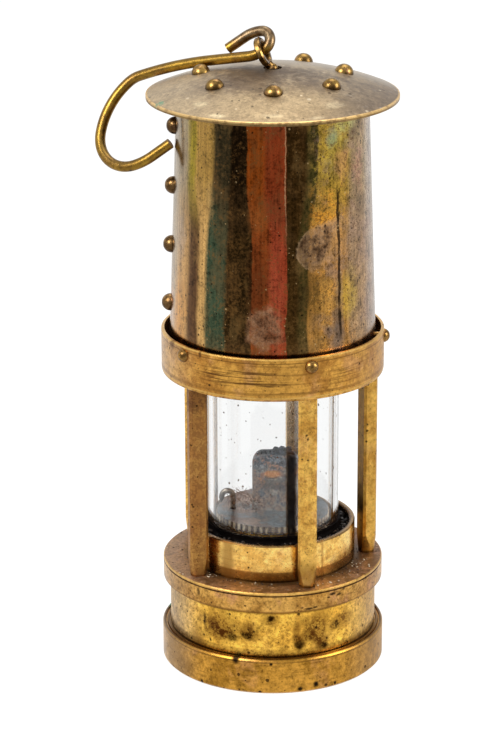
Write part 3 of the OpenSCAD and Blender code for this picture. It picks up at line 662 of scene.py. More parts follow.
@dataclass(frozen=True)
class CapBrass(Brass):
    """The cap's dull taupe brass, with pale bruises, brown stains, a rubbed rim and a touch of verdigris; its left and
    back are painted light, its right side and underside painted shade, and a painted shadow lies round the eye.

    Args:
        rim_z: height of the middle of its rim.
    """

    rim_z: float = 228.8

    def material(self) -> bpy.types.Material:
        """The finished material."""
        s = Surface(self.name)
        cloud = s.noise(15.0, 41, detail=6, rough=0.6)
        fine = s.noise(1.2, 42, detail=5, rough=0.75)
        mottle = s.noise(3.0, 40, detail=6, rough=0.72)
        pepper = fine.step(0.34, 0.66)
        colour = s.blend((cloud + (mottle - 0.5) * 0.5).step(0.38, 0.6), self.deep, self.gold)
        brown = s.noise(9.0, 43, detail=6, rough=0.66, stretch=(1, 1.5, 1)) + (mottle - 0.5) * 0.3
        colour = s.blend(brown.step(0.54, 0.7) * 0.5, colour, self.brown)
        front = (s.math("SQRT", s.x * s.x * 0.35 + (s.y + 36.0) * (s.y + 36.0)) + (mottle - 0.5) * 12.0).step(24.0, 8.0)
        colour = s.blend(front * 0.3, colour, paint("AC9264"))
        # Painted light: the left side of the cap paler.
        colour = s.blend((s.x + (cloud - 0.5) * 20.0).step(-4.0, -34.0) * 0.55, colour, paint("C0AA88"))
        # Painted shade: the right side of the cap darker.
        shade = (s.x * 0.8 - s.y * 0.25 + (cloud - 0.5) * 20.0).step(20.0, 44.0)
        colour = s.blend(shade * 0.65, colour, paint("66564A"))
        for i, stain in enumerate(self.stains):
            mask = s.patch(stain.turn, stain.z, stain.wide, stain.high, stain.ragged, 44 + i, 2.5, 1.4)
            colour = s.blend(mask * stain.share, colour, stain.colour)
        chalk = s.specks(3.0, 0.16, 45)
        colour = s.blend(chalk * 0.5, colour, paint("D8C8AC"))
        scratch = s.noise(2.2, 48, detail=2, stretch=(0.08, 1.4, 1.0)).step(0.66, 0.7) * shade
        colour = s.blend(scratch * 0.5, colour, paint("BFC0C4"))
        colour = s.shade(colour, (pepper - 0.5) * 0.42 + (mottle.step(0.34, 0.66) - 0.5) * 0.22 + 1.0)
        pits = s.specks(2.6, 0.35, 46)
        colour = s.blend(pits * 0.7, colour, paint("32251A"))
        # A brown stain round the eye's opening, which also paints the eye's shadow.
        hx, hy = s.x + 6.0, s.y + 6.0
        eye_stain_and_shadow = (s.math("SQRT", hx * hx * 0.5 + hy * hy) + (mottle - 0.5) * 22.0 + (cloud - 0.5) * 14.0).step(17.0, 5.0)
        colour = s.blend(eye_stain_and_shadow * 0.7, colour, paint("4E3E30"))
        # Painted reflection: the back of the cap paler, for the sky that it reflects.
        colour = s.blend(s.y.step(-4.0, 20.0) * 0.6, colour, paint("B8AEA0"))
        rim = s.radius.step(47.4, 48.0)
        colour = s.blend(rim * 0.8, colour, s.blend(mottle.step(0.46, 0.62), paint("EAC27C"), paint("A8844E")))
        colour = s.blend(rim * s.z.step(self.rim_z + 0.2, self.rim_z - 0.2) * 0.7, colour, paint("5E4628"))
        # Painted shade on the cap's downward faces.
        underside_shade = s.upward.step(0.1, -0.3)
        colour = s.blend(underside_shade * 0.6, colour, paint("4A3A28"))
        dx, dy = s.x + 42.3, s.y + 19.5
        green = (s.math("SQRT", dx * dx + dy * dy) + (s.noise(1.2, 47, detail=5) - 0.5) * 8.0).step(2.1, 0.6)
        colour = s.blend(green * 0.75, colour, paint("37745A"))
        rough = 0.44 + (cloud - 0.5) * 0.16 + (fine - 0.5) * 0.25 + green * 0.2 + eye_stain_and_shadow * 0.1 - rim * 0.1
        relief = 0.6 + (fine - 0.5) * 0.6 - pits * 0.5
        return s.close(colour, rough, 0.92 - green * 0.7, relief, 0.04)


@dataclass(frozen=True)
class Blued:
    """Burner metal blued and sooted by heat.

    Args:
        name: name of the material.
        light: colour of the bare metal.
        dark: colour where it is blued.
        window: direction X and height of the tube's window, round which an orange highlight is painted.
        scorched: heights between which the tube goes black.
    """

    name: str
    light: RGB = paint("626C70")
    dark: RGB = paint("42484C")
    window: tuple[float, float] = (0.0, 0.0)
    scorched: tuple[float, float] = (74.0, 84.5)

    def material(self) -> bpy.types.Material:
        """The finished material."""
        s = Surface(self.name)
        cloud = s.noise(7.0, 51, detail=6, rough=0.55)
        fine = s.noise(1.0, 52, detail=4, rough=0.75)
        colour = s.blend((cloud + (fine - 0.5) * 0.4).step(0.38, 0.62), self.dark, self.light)
        leftish = s.x.step(1.5, -3.0) * s.z.step(79.0, 75.0) * 0.1
        rust = (s.noise(8.0, 54, detail=6, rough=0.65) + (fine - 0.5) * 0.3 + leftish).step(0.5, 0.62)
        colour = s.blend(rust * 0.75, colour, s.blend(cloud.step(0.4, 0.6), paint("8A7260"), paint("6A5042")))
        # Soot, laid thicker towards +X, where it also paints the shade of the tube's right side.
        soot = (s.noise(7.0, 53, detail=7, rough=0.68) + s.x.step(0.0, 9.0) * 0.12).step(0.55, 0.66)
        colour = s.blend(soot * 0.8, colour, paint("17120F"))
        scorch = (s.z + (cloud - 0.5) * 14.0).step(*self.scorched)
        colour = s.blend(scorch * 0.8, colour, s.blend(fine.step(0.44, 0.56), paint("141C24"), paint("5A6874")))
        dx, dz = s.x - self.window[0], s.z - self.window[1]
        drip = (s.math("SQRT", dx * dx * 0.2 + (dz + 4.4) * (dz + 4.4)) + (cloud - 0.5) * 4.0).step(3.4, 1.6)
        colour = s.blend(drip * 0.6, colour, paint("33261E"))
        # Painted highlight: an orange glow round the window.
        glow = (s.math("SQRT", dx * dx * 0.22 + dz * dz) + (cloud - 0.5) * 2.4 + (fine - 0.5)).step(2.4, 1.0)
        colour = s.blend(glow * 0.85, colour, paint("B07040"))
        sparks = (fine + s.noise(5.0, 55, detail=4) - 0.5).step(0.56, 0.64) * s.z.step(70.0, 76.0)
        colour = s.blend(sparks * 0.7, colour, paint("8A5A34"))
        edge = s.radius.step(20.6, 21.4) * s.upward.step(0.6, 0.3)
        tooth = s.blend(s.radius.step(22.0, 22.3), paint("3E2E22"), s.blend(cloud.step(0.4, 0.6), paint("A89A84"), paint("7C6A54")))
        colour = s.blend(edge, colour, tooth)
        colour = s.shade(colour, (fine.step(0.34, 0.66) - 0.5) * 0.7 + 1.0)
        rough = 0.5 + (cloud - 0.5) * 0.2 + (fine - 0.5) * 0.25
        return s.close(colour, rough, 0.7 - soot * 0.5, 0.5 + (fine - 0.5) * 0.4, 0.02)


@dataclass(frozen=True)
class Glass:
    """Clear lamp glass with fine baked-on specks, a scratch and a dirty foot.

    Args:
        name: name of the material.
        foot: height of its lower edge.
    """

    name: str
    foot: float = 58.3

    def material(self) -> bpy.types.Material:
        """The finished material."""
        s = Surface(self.name)
        clear = s.node("ShaderNodeBsdfPrincipled", None, {
            "Base Color": (0.992, 0.997, 0.995), "Roughness": 0.01, "IOR": 1.45,
            "Transmission Weight": 1.0})
        specks = s.math("MAXIMUM", s.specks(2.6, 0.08, 61), s.specks(1.3, 0.05, 62))
        smear = s.noise(7.0, 63, detail=5, rough=0.72, stretch=(1, 1, 0.5)).step(0.62, 0.85) * 0.16
        stipple = s.noise(0.5, 66, detail=3).step(0.5, 0.62)
        low = (s.z + (s.noise(2.4, 64, detail=6, rough=0.7) - 0.5) * 4.0).step(self.foot + 1.6, self.foot + 0.1)
        lean = s.z + s.turn * 0.14 + (s.noise(3.0, 65) - 0.5)
        line = lean.near(71.5, 0.3) * s.turn.step(-37.0, -35.0) * s.turn.step(-20.0, -23.0)
        flecks = s.noise(0.9, 67, detail=4, rough=0.7).step(0.52, 0.6)
        crust = s.patch(-27.0, 72.8, 16.0, 3.4, 1.2, 68, 4.0, 1.4) * flecks
        ragged = (s.noise(3.0, 69, detail=5, rough=0.7) - 0.5) * 4.0
        strip = (s.turn + ragged).step(11.2, 12.6) * (s.turn + ragged).step(22.0, 19.0) * (s.z + ragged * 2.0).step(97.0, 90.0)
        dirt = s.math("MAXIMUM", s.math("MAXIMUM", specks, line * 0.8), low * (0.35 + stipple * 0.6) + smear * stipple)
        dirt = s.math("MAXIMUM", dirt, s.math("MAXIMUM", crust * 0.8, strip * (0.7 + flecks * 0.28)))
        tint = s.blend(s.math("MAXIMUM", low, strip), paint("5E4330"), paint("0A0706"))
        soil = s.node("ShaderNodeBsdfPrincipled", None, {
            "Base Color": tint, "Roughness": 0.5, "Specular IOR Level": 0.05})
        seen = s.node("ShaderNodeMixShader", None, {0: dirt, 1: clear.outputs[0], 2: soil.outputs[0]})
        path = s.node("ShaderNodeLightPath")
        open_air = s.node("ShaderNodeBsdfTransparent", None, {"Color": (0.96, 0.97, 0.97)})
        shaded = s.node("ShaderNodeMixShader", None, {
            0: path.outputs["Is Shadow Ray"], 1: seen.outputs[0], 2: open_air.outputs[0]})
        s.node("ShaderNodeOutputMaterial", None, {"Surface": shaded.outputs[0]})
        return s.material


@dataclass(frozen=True)
class Soft:
    """A dull or fibrous stuff, such as soot, char, felt, leather or cotton.

    Args:
        name: name of the material.
        dark: colour of its hollows.
        light: colour of its ridges.
        grain: size of its grain in millimetres.
        stretch: direction of its grain, as factors on the axes.
        rough: roughness.
        depth: depth of the relief in millimetres.
        shine: level of its mirror reflection.
        glow: direction X and height of a painted orange highlight.
    """

    name: str
    dark: RGB
    light: RGB
    grain: float = 0.8
    stretch: Sequence[float] = (1, 1, 1)
    rough: float = 0.8
    depth: float = 0.1
    shine: float = 0.4
    glow: tuple[float, float] | None = None

    def material(self) -> bpy.types.Material:
        """The finished material."""
        s = Surface(self.name)
        grain = s.noise(self.grain, 71, detail=5, rough=0.7, stretch=self.stretch)
        cloud = s.noise(self.grain * 5, 72, detail=4)
        colour = s.blend((grain * 0.7 + cloud * 0.3).step(0.38, 0.64), self.dark, self.light)
        # Painted highlight: the orange spot where the tube's window shows the wick.
        if self.glow is not None:
            dx, dz = s.x - self.glow[0], s.z - self.glow[1]
            lit = (s.math("SQRT", dx * dx * 0.2 + dz * dz) + (cloud - 0.5) * 1.5).step(3.0, 1.6)
            colour = s.blend(lit * 0.9, colour, s.blend(grain.step(0.4, 0.6), paint("D08848"), paint("F0B880")))
        rough = self.rough + (grain - 0.5) * 0.25
        return s.close(colour, rough, 0.0, grain, self.depth, specular_ior_level=self.shine)


@dataclass(frozen=True)
class Steel:
    """Drawn steel wire, browned and a little rusty."""

    name: str
    light: RGB = paint("7C746A")
    dark: RGB = paint("3A332C")

    def material(self) -> bpy.types.Material:
        """The finished material."""
        s = Surface(self.name)
        cloud = s.noise(1.8, 81, detail=5, rough=0.65)
        colour = s.blend(cloud.step(0.36, 0.66), self.dark, self.light)
        rust = s.noise(1.1, 82, detail=4).step(0.58, 0.72)
        colour = s.blend(rust * 0.6, colour, paint("6E4428"))
        return s.close(colour, 0.42 + (cloud - 0.5) * 0.3, 1.0 - rust * 0.5, cloud, 0.02)


# Meshes


def mesh_object(name: str, points: Points, faces: Faces, material: bpy.types.Material,
                crease: float = 35.0) -> bpy.types.Object:
    """Makes a closed, outward-facing mesh object at the origin.

    Args:
        name: the piece's name.
        points: corners in metres.
        faces: corner indices of each face.
        material: its material.
        crease: edges sharper than this many degrees stay sharp.

    Returns:
        The object.
    """
    mesh = bpy.data.meshes.new(name)
    mesh.from_pydata(points, [], faces)
    made = bpy.data.objects.new(name, mesh)
    bpy.context.scene.collection.objects.link(made)
    mesh.materials.append(material)
    settle(made, crease)
    return made


def settle(piece: bpy.types.Object, crease: float = 35.0) -> None:
    """Merges doubles, turns faces outwards and shades smooth except at creases."""
    work = bmesh.new()
    work.from_mesh(piece.data)
    bmesh.ops.remove_doubles(work, verts=work.verts, dist=1e-6)
    bmesh.ops.recalc_face_normals(work, faces=work.faces)
    for face in work.faces:
        face.smooth = True
    for edge in work.edges:
        edge.smooth = len(edge.link_faces) == 2 and edge.calc_face_angle() < math.radians(crease)
    work.to_mesh(piece.data)
    work.free()


def lathe(profile: Sequence[tuple[float, float]], count: int, push=None) -> tuple[Points, Faces]:
    """Turns a closed profile about Z.

    Args:
        profile: radius and height of each corner in millimetres.
        count: number of steps round.
        push: optional function of turn, radius and height that gives the two moved.

    Returns:
        Points in metres, and faces.
    """
    points: Points = []
    for i in range(count):
        a = 2 * math.pi * i / count
        for r, z in profile:
            r2, z2 = push(a, r, z) if push else (r, z)
            points.append((r2 * MM * math.cos(a), r2 * MM * math.sin(a), z2 * MM))
    n = len(profile)
    faces = [
        (i * n + j, ((i + 1) % count) * n + j, ((i + 1) % count) * n + (j + 1) % n, i * n + (j + 1) % n)
        for i in range(count)
        for j in range(n)
    ]
    return points, faces


# Geometry Nodes


class Tree(Graph):
    """A Geometry Nodes tree with named inputs. It is run once and leaves a plain mesh."""

    def __init__(self, name: str, **inputs: float | int) -> None:
        """Starts a tree called `name` with number inputs and their usual values."""
        group = bpy.data.node_groups.new(name, "GeometryNodeTree")
        super().__init__(group)
        group.interface.new_socket("Geometry", in_out="OUTPUT", socket_type="NodeSocketGeometry")
        group.interface.new_socket("Geometry", in_out="INPUT", socket_type="NodeSocketGeometry")
        for key, value in inputs.items():
            kind = "NodeSocketInt" if isinstance(value, int) else "NodeSocketFloat"
            group.interface.new_socket(key, in_out="INPUT", socket_type=kind).default_value = value
        self.entry = self.node("NodeGroupInput")
        self.inputs = inputs

    def get(self, name: str) -> Sock:
        """The tree's input of that name."""
        return Sock(self, self.entry.outputs[name])

    def step_to(self, kind: str, source: bpy.types.NodeSocket, settings: dict | None = None,
                values: dict | None = None) -> bpy.types.NodeSocket:
        """Passes geometry through a node.

        Args:
            kind: the node's type.
            source: the geometry that goes into its first socket.
            settings: properties.
            values: values of its other sockets.

        Returns:
            The geometry that comes out.
        """
        made = self.node(kind, settings, values)
        self.tree.links.new(source, made.inputs[0])
        return made.outputs[0]

    def run(self, piece: str, last: bpy.types.NodeSocket, material: bpy.types.Material,
            start: bpy.types.Object | None = None) -> bpy.types.Object:
        """Ends the tree, runs it and keeps its mesh.

        Args:
            piece: name of the piece.
            last: the geometry to keep.
            material: its material.
            start: the object that the tree works on; it is removed afterwards.

        Returns:
            The finished object, at the origin.
        """
        out = self.step_to("GeometryNodeRealizeInstances", last)
        out = self.step_to("GeometryNodeSetMaterial", out, None, {"Material": material})
        self.tree.links.new(out, self.node("NodeGroupOutput").inputs[0])
        if start is None:
            start = bpy.data.objects.new(piece + "_seed", bpy.data.meshes.new(piece + "_seed"))
            bpy.context.scene.collection.objects.link(start)
        modifier = start.modifiers.new("tree", "NODES")
        modifier.node_group = self.tree
        for item in self.tree.interface.items_tree:
            if item.in_out == "INPUT" and item.name in self.inputs:
                modifier[item.identifier] = self.inputs[item.name]
        bpy.context.view_layer.update()
        shown = start.evaluated_get(bpy.context.evaluated_depsgraph_get())
        mesh = bpy.data.meshes.new_from_object(shown)
        start.modifiers.clear()
        bpy.data.objects.remove(start)
        mesh.name = piece
        made = bpy.data.objects.new(piece, mesh)
        bpy.context.scene.collection.objects.link(made)
        if not mesh.materials:
            mesh.materials.append(material)
        return made


# Sub-assemblies


class Slots:
    """Gives the CAD nodes their finishes and places new pieces on their bodies."""

    @staticmethod
    def dress(material: bpy.types.Material, *nodes: str) -> None:
        """Assigns a material to CAD nodes."""
        for name in nodes:
            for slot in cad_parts[name].material_slots:
                slot.material = material
            LOG.info("dressed %s", name)

    @staticmethod
    def place(piece: bpy.types.Object, body: str, slot: str, *nodes: str) -> None:
        """Puts a piece on its body and hides the CAD nodes that it stands for."""
        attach(piece, body)
        if nodes:
            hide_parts(*nodes)
        LOG.info("made %s on %s", piece.name, body)


@dataclass
class Strewn:
    """Small rough crumbs strewn over a ring of the lamp.

    Args:
        name: name of the piece.
        inner: inner radius of the ring.
        outer: outer radius of the ring.
        height: height of the ring at its inner and its outer side.
        size: radius of the largest crumbs.
        density: crumbs in a square millimetre where they lie thickest.
        heaps: direction, radius and width of each place where they gather.
        thin: share of the density between those places.
        seed: seed of their places.
    """

    name: str
    inner: float
    outer: float
    height: tuple[float, float]
    size: float
    density: float
    heaps: tuple[tuple[float, float, float], ...] = ()
    thin: float = 1.0
    seed: int = 3

    def ring(self) -> bpy.types.Object:
        """The ring that the crumbs lie on, with their share at each corner."""
        steps, rows = 180, 8
        points: Points = []
        share: list[float] = []
        for i in range(steps):
            turn = 360.0 * i / steps - 180.0
            a = math.radians(turn)
            for j in range(rows + 1):
                r = self.inner + (self.outer - self.inner) * j / rows
                z = self.height[0] + (self.height[1] - self.height[0]) * j / rows
                points.append((r * MM * math.sin(a), -r * MM * math.cos(a), z * MM))
                near = [math.exp(-(((turn - t) * math.radians(q)) ** 2 + (r - q) ** 2) / w**2) for t, q, w in self.heaps]
                share.append(max([self.thin, *near]))
        faces = [
            (i * (rows + 1) + j, i * (rows + 1) + j + 1, (i + 1) % steps * (rows + 1) + j + 1, (i + 1) % steps * (rows + 1) + j)
            for i in range(steps)
            for j in range(rows)
        ]
        mesh = bpy.data.meshes.new(self.name + "_ring")
        mesh.from_pydata(points, [], faces)
        mesh.attributes.new("share", "FLOAT", "POINT").data.foreach_set("value", share)
        made = bpy.data.objects.new(self.name + "_ring", mesh)
        bpy.context.scene.collection.objects.link(made)
        return made

    def build(self, material: bpy.types.Material, body: str, slot: str) -> None:
        """Strews the crumbs.

        Args:
            material: their material.
            body: the body they ride on.
            slot: not used.
        """
        tree = Tree(self.name, density=self.density * 1e6, crumb=self.size * MM, seed=self.seed)
        share = tree.node("GeometryNodeInputNamedAttribute", {"data_type": "FLOAT"}, {"Name": "share"}).outputs[0]
        spread = tree.node("GeometryNodeDistributePointsOnFaces", {"distribute_method": "RANDOM"}, {
            "Density": tree.get("density") * Sock(tree, share), "Seed": tree.get("seed")})
        tree.tree.links.new(tree.entry.outputs["Geometry"], spread.inputs["Mesh"])
        ball = tree.node("GeometryNodeMeshIcoSphere", None, {"Radius": tree.get("crumb"), "Subdivisions": 1})
        chance = Sock(tree, tree.node("FunctionNodeRandomValue", {"data_type": "FLOAT"}, {
            "Seed": tree.get("seed")}).outputs[1])
        shape = Sock(tree, tree.node("FunctionNodeRandomValue", {"data_type": "FLOAT_VECTOR"}, {
            0: (0.6, 0.6, 0.45), 1: (1.3, 1.3, 0.8)}).outputs[0])
        large = tree.vector("SCALE", shape, scale=chance * chance * 0.75 + 0.25)
        spin = tree.node("FunctionNodeRandomValue", {"data_type": "FLOAT_VECTOR"}, {
            0: (-0.3, -0.3, 0.0), 1: (0.3, 0.3, 6.28)}).outputs[0]
        crumbs = tree.node("GeometryNodeInstanceOnPoints", None, {
            "Points": spread.outputs[0], "Instance": ball.outputs[0], "Rotation": spin, "Scale": large})
        piece = tree.run(self.name, crumbs.outputs[0], material, self.ring())
        Slots.place(piece, body, slot)


@dataclass
class Rivets:
    """Hand-set rivets or screws with domed heads, each a little unlike the next.

    Args:
        name: name of the piece.
        wide: width of a head.
        high: height of a head.
        shank: width of the shank.
        grip: depth at which the tail begins.
        tail: width of the tail.
        flat: share of the head's top that is worn flat.
        places: foot and direction of each head.
        seed: seed of their differences.
    """

    name: str
    wide: float
    high: float
    shank: float
    grip: float
    tail: float
    flat: float = 0.05
    places: tuple[tuple[Vector, Vector], ...] = ()
    seed: int = 1

    def pattern(self, material: bpy.types.Material) -> bpy.types.Object:
        """One rivet, standing along Z with the foot of its head at the origin."""
        r, h = self.wide / 2, self.high
        ball = (r * r + h * h) / (2 * h)
        reach = math.asin(min(1.0, r / ball))
        if h > r:
            reach = math.pi - reach
        dome = []
        for k in range(11):
            a = reach * k / 10
            level = ball * math.cos(a) - ball + h
            dome.append((ball * math.sin(a), min(level, h * (1 - self.flat * 0.5))))
        profile = [*dome, (r, -0.3), (self.shank / 2, -0.3), (self.shank / 2, -self.grip),
                   (self.tail / 2, -self.grip), (self.tail / 2, -self.grip - 1.2), (0.0, -self.grip - 1.2)]
        points, faces = lathe(profile, 40)
        return mesh_object(self.name + "_pattern", points, faces, material, 50.0)

    def build(self, material: bpy.types.Material, body: str, slot: str, node: str) -> None:
        """Sets the rivets.

        Args:
            material: their material.
            body: the body they ride on.
            slot: not used.
            node: the CAD node they stand for.
        """
        pattern = self.pattern(material)
        mesh = bpy.data.meshes.new(self.name + "_places")
        mesh.from_pydata([foot * MM for foot, _ in self.places], [], [])
        way = mesh.attributes.new("way", "FLOAT_VECTOR", "POINT")
        for i, (_, out) in enumerate(self.places):
            way.data[i].vector = out
        start = bpy.data.objects.new(self.name + "_places", mesh)
        bpy.context.scene.collection.objects.link(start)
        tree = Tree(self.name, uneven=0.035, tilt=0.03, seed=self.seed)
        uneven, tilt = tree.get("uneven"), tree.get("tilt")
        head = tree.node("GeometryNodeObjectInfo", None, {"Object": pattern}).outputs["Geometry"]
        out = tree.node("GeometryNodeInputNamedAttribute", {"data_type": "FLOAT_VECTOR"}, {"Name": "way"}).outputs[0]
        aligned = tree.node("FunctionNodeAlignRotationToVector", {"axis": "Z"}, {"Vector": out}).outputs[0]
        low, high = tree.join(-tilt, -tilt, 0.0), tree.join(tilt, tilt, 6.28)
        lean = tree.node("FunctionNodeRandomValue", {"data_type": "FLOAT_VECTOR"}, {
            0: low, 1: high, "Seed": tree.get("seed")}).outputs[0]
        lean = tree.node("FunctionNodeEulerToRotation", None, {0: lean}).outputs[0]
        turned = tree.node("FunctionNodeRotateRotation", {"rotation_space": "LOCAL"}, {0: aligned, 1: lean}).outputs[0]
        least, most = tree.join(1.0 - uneven, 1.0 - uneven, 1.0 - uneven), tree.join(1.0, 1.0, 1.0)
        size = tree.node("FunctionNodeRandomValue", {"data_type": "FLOAT_VECTOR"}, {0: least, 1: most}).outputs[0]
        heads = tree.node("GeometryNodeInstanceOnPoints", None, {
            "Points": tree.entry.outputs["Geometry"], "Instance": head, "Rotation": turned, "Scale": size})
        piece = tree.run(self.name, heads.outputs[0], material, start)
        bpy.data.objects.remove(pattern)
        Slots.place(piece, body, slot, node)


def outward(turn: float, radius: float, height: float) -> tuple[Vector, Vector]:
    """Foot and direction of a rivet that looks outwards.

    Args:
        turn: its direction in degrees from the front, as seen from above.
        radius: radius of its foot.
        height: its height.

    Returns:
        Foot and direction.
    """
    a = math.radians(turn)
    way = Vector((math.sin(a), -math.cos(a), 0.0))
    return way * radius + Vector((0.0, 0.0, height)), way


@dataclass
class Vessel:
    """The fuel vessel with its foot, burner, wick and pricker."""

    brown: RGB = paint("5A3812")
    wick_at: float = 1.2
    wick_wide: float = 13.0
    wick_thick: float = 3.6
    wick_foot: float = 13.6
    wick_top: float = 84.6
    window: tuple[float, float] = (0.0, 76.9)

    def finishes(self) -> None:
        """Dresses the vessel's CAD nodes."""
        nick = paint("20150B")
        base = Brass(
            "base_brass", gold=paint("C6903A"), deep=paint("A47428"), brown=self.brown, brown_share=0.25,
            rose_share=0.15, pit=2.8, pit_share=0.3, streak_share=0.4, rough=0.33, contrast=0.7, flank_sheen=0.45, seed=1.0,
            # The dark line at 14.6 mm, where the vessel stands in the ring, is dirt and painted contact shade.
            lines=(Line(Mark.HEIGHT, 14.6, 0.7, paint("2E1C0C"), 0.95, 0.5),
                   Line(Mark.HEIGHT, 13.1, 0.35, paint("6A4A20"), 0.7), Line(Mark.HEIGHT, 13.9, 0.6, paint("8A6428"), 0.45)),
            stains=(Stain(-19.7, 13.9, 1.8, 1.7, 1.0, nick, 0.0, 0.4), Stain(22.2, 2.8, 1.3, 1.1, 1.0, nick, 0.0, 0.3),
                    Stain(13.6, 1.7, 1.4, 0.9, 1.0, nick, 0.1, 0.5), Stain(33.3, 1.6, 0.8, 0.8, 1.0, nick, 0.0, 0.3),
                    Stain(-39.6, 1.2, 0.8, 0.6, 1.0, nick, 0.0, 0.3), Stain(-6.9, 0.9, 0.9, 0.5, 1.0, nick, 0.0, 0.3),
                    Stain(-1.3, 12.6, 0.8, 0.6, 1.0, nick, 0.0, 0.3), Stain(-62.0, 8.0, 12.0, 8.0, 0.5),
                    # Painted shade: the ring's right side darkened.
                    Stain(68.0, 8.0, 22.0, 14.0, 0.35, paint("86683A"), 0.2, 0.4),
                    Stain(-112.0, 14.2, 7.0, 2.4, 0.85, paint("3F8A6A"), 0.3, 1.2)),
        ).material()
        spot = paint("4E2606")
        core = paint("241002")
        body = Brass(
            "vessel_brass", gold=paint("F4BE4E"), deep=paint("DCA440"), brown=paint("7E5418"), brown_share=0.15,
            rose_share=0.06, cloud=14.0, pit=2.4, pit_share=0.4, rough=0.29, contrast=1.1, flank_sheen=0.6, freckles=0.5,
            seed=2.0,
            # The dark line at 14.2 mm, at the joint with the ring, is dirt and painted contact shade.
            lines=(Line(Mark.HEIGHT, 14.2, 0.9, paint("2A1A0C"), 0.95), Line(Mark.HEIGHT, 16.2, 1.5, self.brown, 0.45),
                   Line(Mark.HEIGHT, 33.0, 1.2, paint("5A3E1C"), 0.8)),
            stains=(Stain(-31.0, 25.0, 13.0, 5.5, 0.85, spot, 0.88), Stain(-29.4, 22.7, 6.0, 2.6, 0.95, spot, 0.5),
                    Stain(-35.5, 26.0, 3.4, 2.0, 0.9, spot, 0.4), Stain(-13.0, 24.4, 5.0, 3.8, 0.9, spot, 0.6), Stain(-2.0, 29.6, 4.6, 2.2, 0.8, spot, 0.8),
                    Stain(14.5, 20.0, 3.8, 2.8, 0.85, spot, 0.6), Stain(13.0, 25.0, 1.8, 4.6, 0.6, spot, 0.6),
                    Stain(24.0, 25.0, 9.5, 5.8, 0.85, spot, 0.82), Stain(27.5, 19.0, 4.0, 2.8, 0.85, spot, 0.6),
                    Stain(21.0, 22.5, 3.6, 2.2, 0.85, spot, 0.5),
                    # Painted shade: the vessel's left and right sides darkened.
                    Stain(-72.0, 24.0, 18.0, 16.0, 0.35, paint("8A7658"), 0.2, 0.4),
                    Stain(70.0, 24.0, 20.0, 16.0, 0.4, paint("8A7452"), 0.2, 0.4),
                    Stain(42.0, 26.5, 5.5, 3.2, 0.85, spot, 0.85), Stain(-47.0, 17.5, 5.0, 4.0, 0.6, spot, 0.9),
                    Stain(-22.7, 21.5, 3.2, 1.5, 0.95, core, 0.3), Stain(-14.6, 22.8, 3.0, 1.5, 0.95, core, 0.3),
                    Stain(-1.3, 30.4, 2.0, 1.2, 1.0, core, 0.1), Stain(14.7, 18.9, 2.4, 1.7, 0.95, core, 0.1),
                    Stain(29.0, 17.2, 2.8, 1.3, 0.95, core, 0.2), Stain(36.2, 24.5, 2.4, 2.2, 0.9, core, 0.7),
                    Stain(-41.0, 25.8, 1.0, 2.6, 0.9, core, 0.3)),
        ).material()
        Slots.dress(base, "base_ring")
        Slots.dress(body, "vessel_body")
        Slots.dress(Brass("inner_brass", gold=paint("A07C42"), deep=paint("745630"), brown_share=0.5, seed=3.0,
                          rough=0.42).material(),
                    "vessel_bottom", "pricker_tube", "gland_nut", "hood_ring", "gauze_ring", "crown_plate",
                    "swivel_washer")
        Slots.dress(Blued("burner_metal").material(), "burner_disc")
        Slots.dress(Blued("tube_metal", paint("8A857C"), paint("4E565E"), self.window).material(), "wick_tube")
        Slots.dress(Soft("wadding_cotton", paint("8A7F6A"), paint("C6BBA2"), 1.4, depth=0.3).material(),
                    "fuel_wadding")
        Slots.dress(Soft("gasket_leather", paint("1E1813"), paint("3A2E24"), 0.9, rough=0.6).material(),
                    "vessel_gasket", "pricker_packing")
        Slots.dress(Steel("wire_steel").material(), "pricker")

    def wick(self) -> None:
        """The flat wick, charred and ragged at its top."""
        char = Soft("wick_cotton", paint("0E1014"), paint("3C454E"), 0.6, (1, 1, 0.4), 0.85, 0.12,
                    glow=self.window).material()
        tall = self.wick_top - self.wick_foot
        tree = Tree("charred_wick", wide=self.wick_wide * MM, thick=self.wick_thick * MM, tall=tall * MM, ragged=3.2 * MM)
        block = tree.node("GeometryNodeMeshCube", None, {
            "Size": tree.join(tree.get("wide") * 0.96, tree.get("thick") * 0.92, tree.get("tall")),
            "Vertices X": 40, "Vertices Y": 12, "Vertices Z": 90})
        place = Sock(tree, tree.node("GeometryNodeInputPosition").outputs[0])
        top = tree.split(place)[2].step(tall * MM * 0.40, tall * MM * 0.5)
        scaled = tree.vector("SCALE", place, scale=1 / MM)
        stretched = tree.vector("MULTIPLY", scaled, (1.0, 1.0, 0.35))
        bits = tree.node("ShaderNodeTexNoise", None, {"Vector": stretched, "Scale": 0.5, "Detail": 4.0, "Roughness": 0.7})
        high = tree.split(scaled)[0].step(-2.8, -0.6) * 3.4 - 1.5
        lift = (high * MM + (Sock(tree, bits.outputs[0]) - 0.5) * tree.get("ragged")) * top
        loose = tree.node("ShaderNodeTexNoise", None, {"Vector": scaled, "Scale": 0.9, "Detail": 3.0})
        side = (Sock(tree, loose.outputs[0]) - 0.5) * top * (0.25 * MM)
        moved = tree.step_to("GeometryNodeSetPosition", block.outputs[0], None, {"Offset": tree.join(side, side, lift)})
        centre = tree.join(self.wick_at * MM, 0.0, (self.wick_foot + tall / 2) * MM)
        placed = tree.step_to("GeometryNodeTransform", moved, None, {"Translation": centre})
        piece = tree.run("wick_charred", placed, char)
        settle(piece, 40.0)
        Slots.place(piece, "vessel", "wick_cotton", "wick")

    def build(self) -> None:
        """Makes the vessel's pieces."""
        self.finishes()
        self.wick()


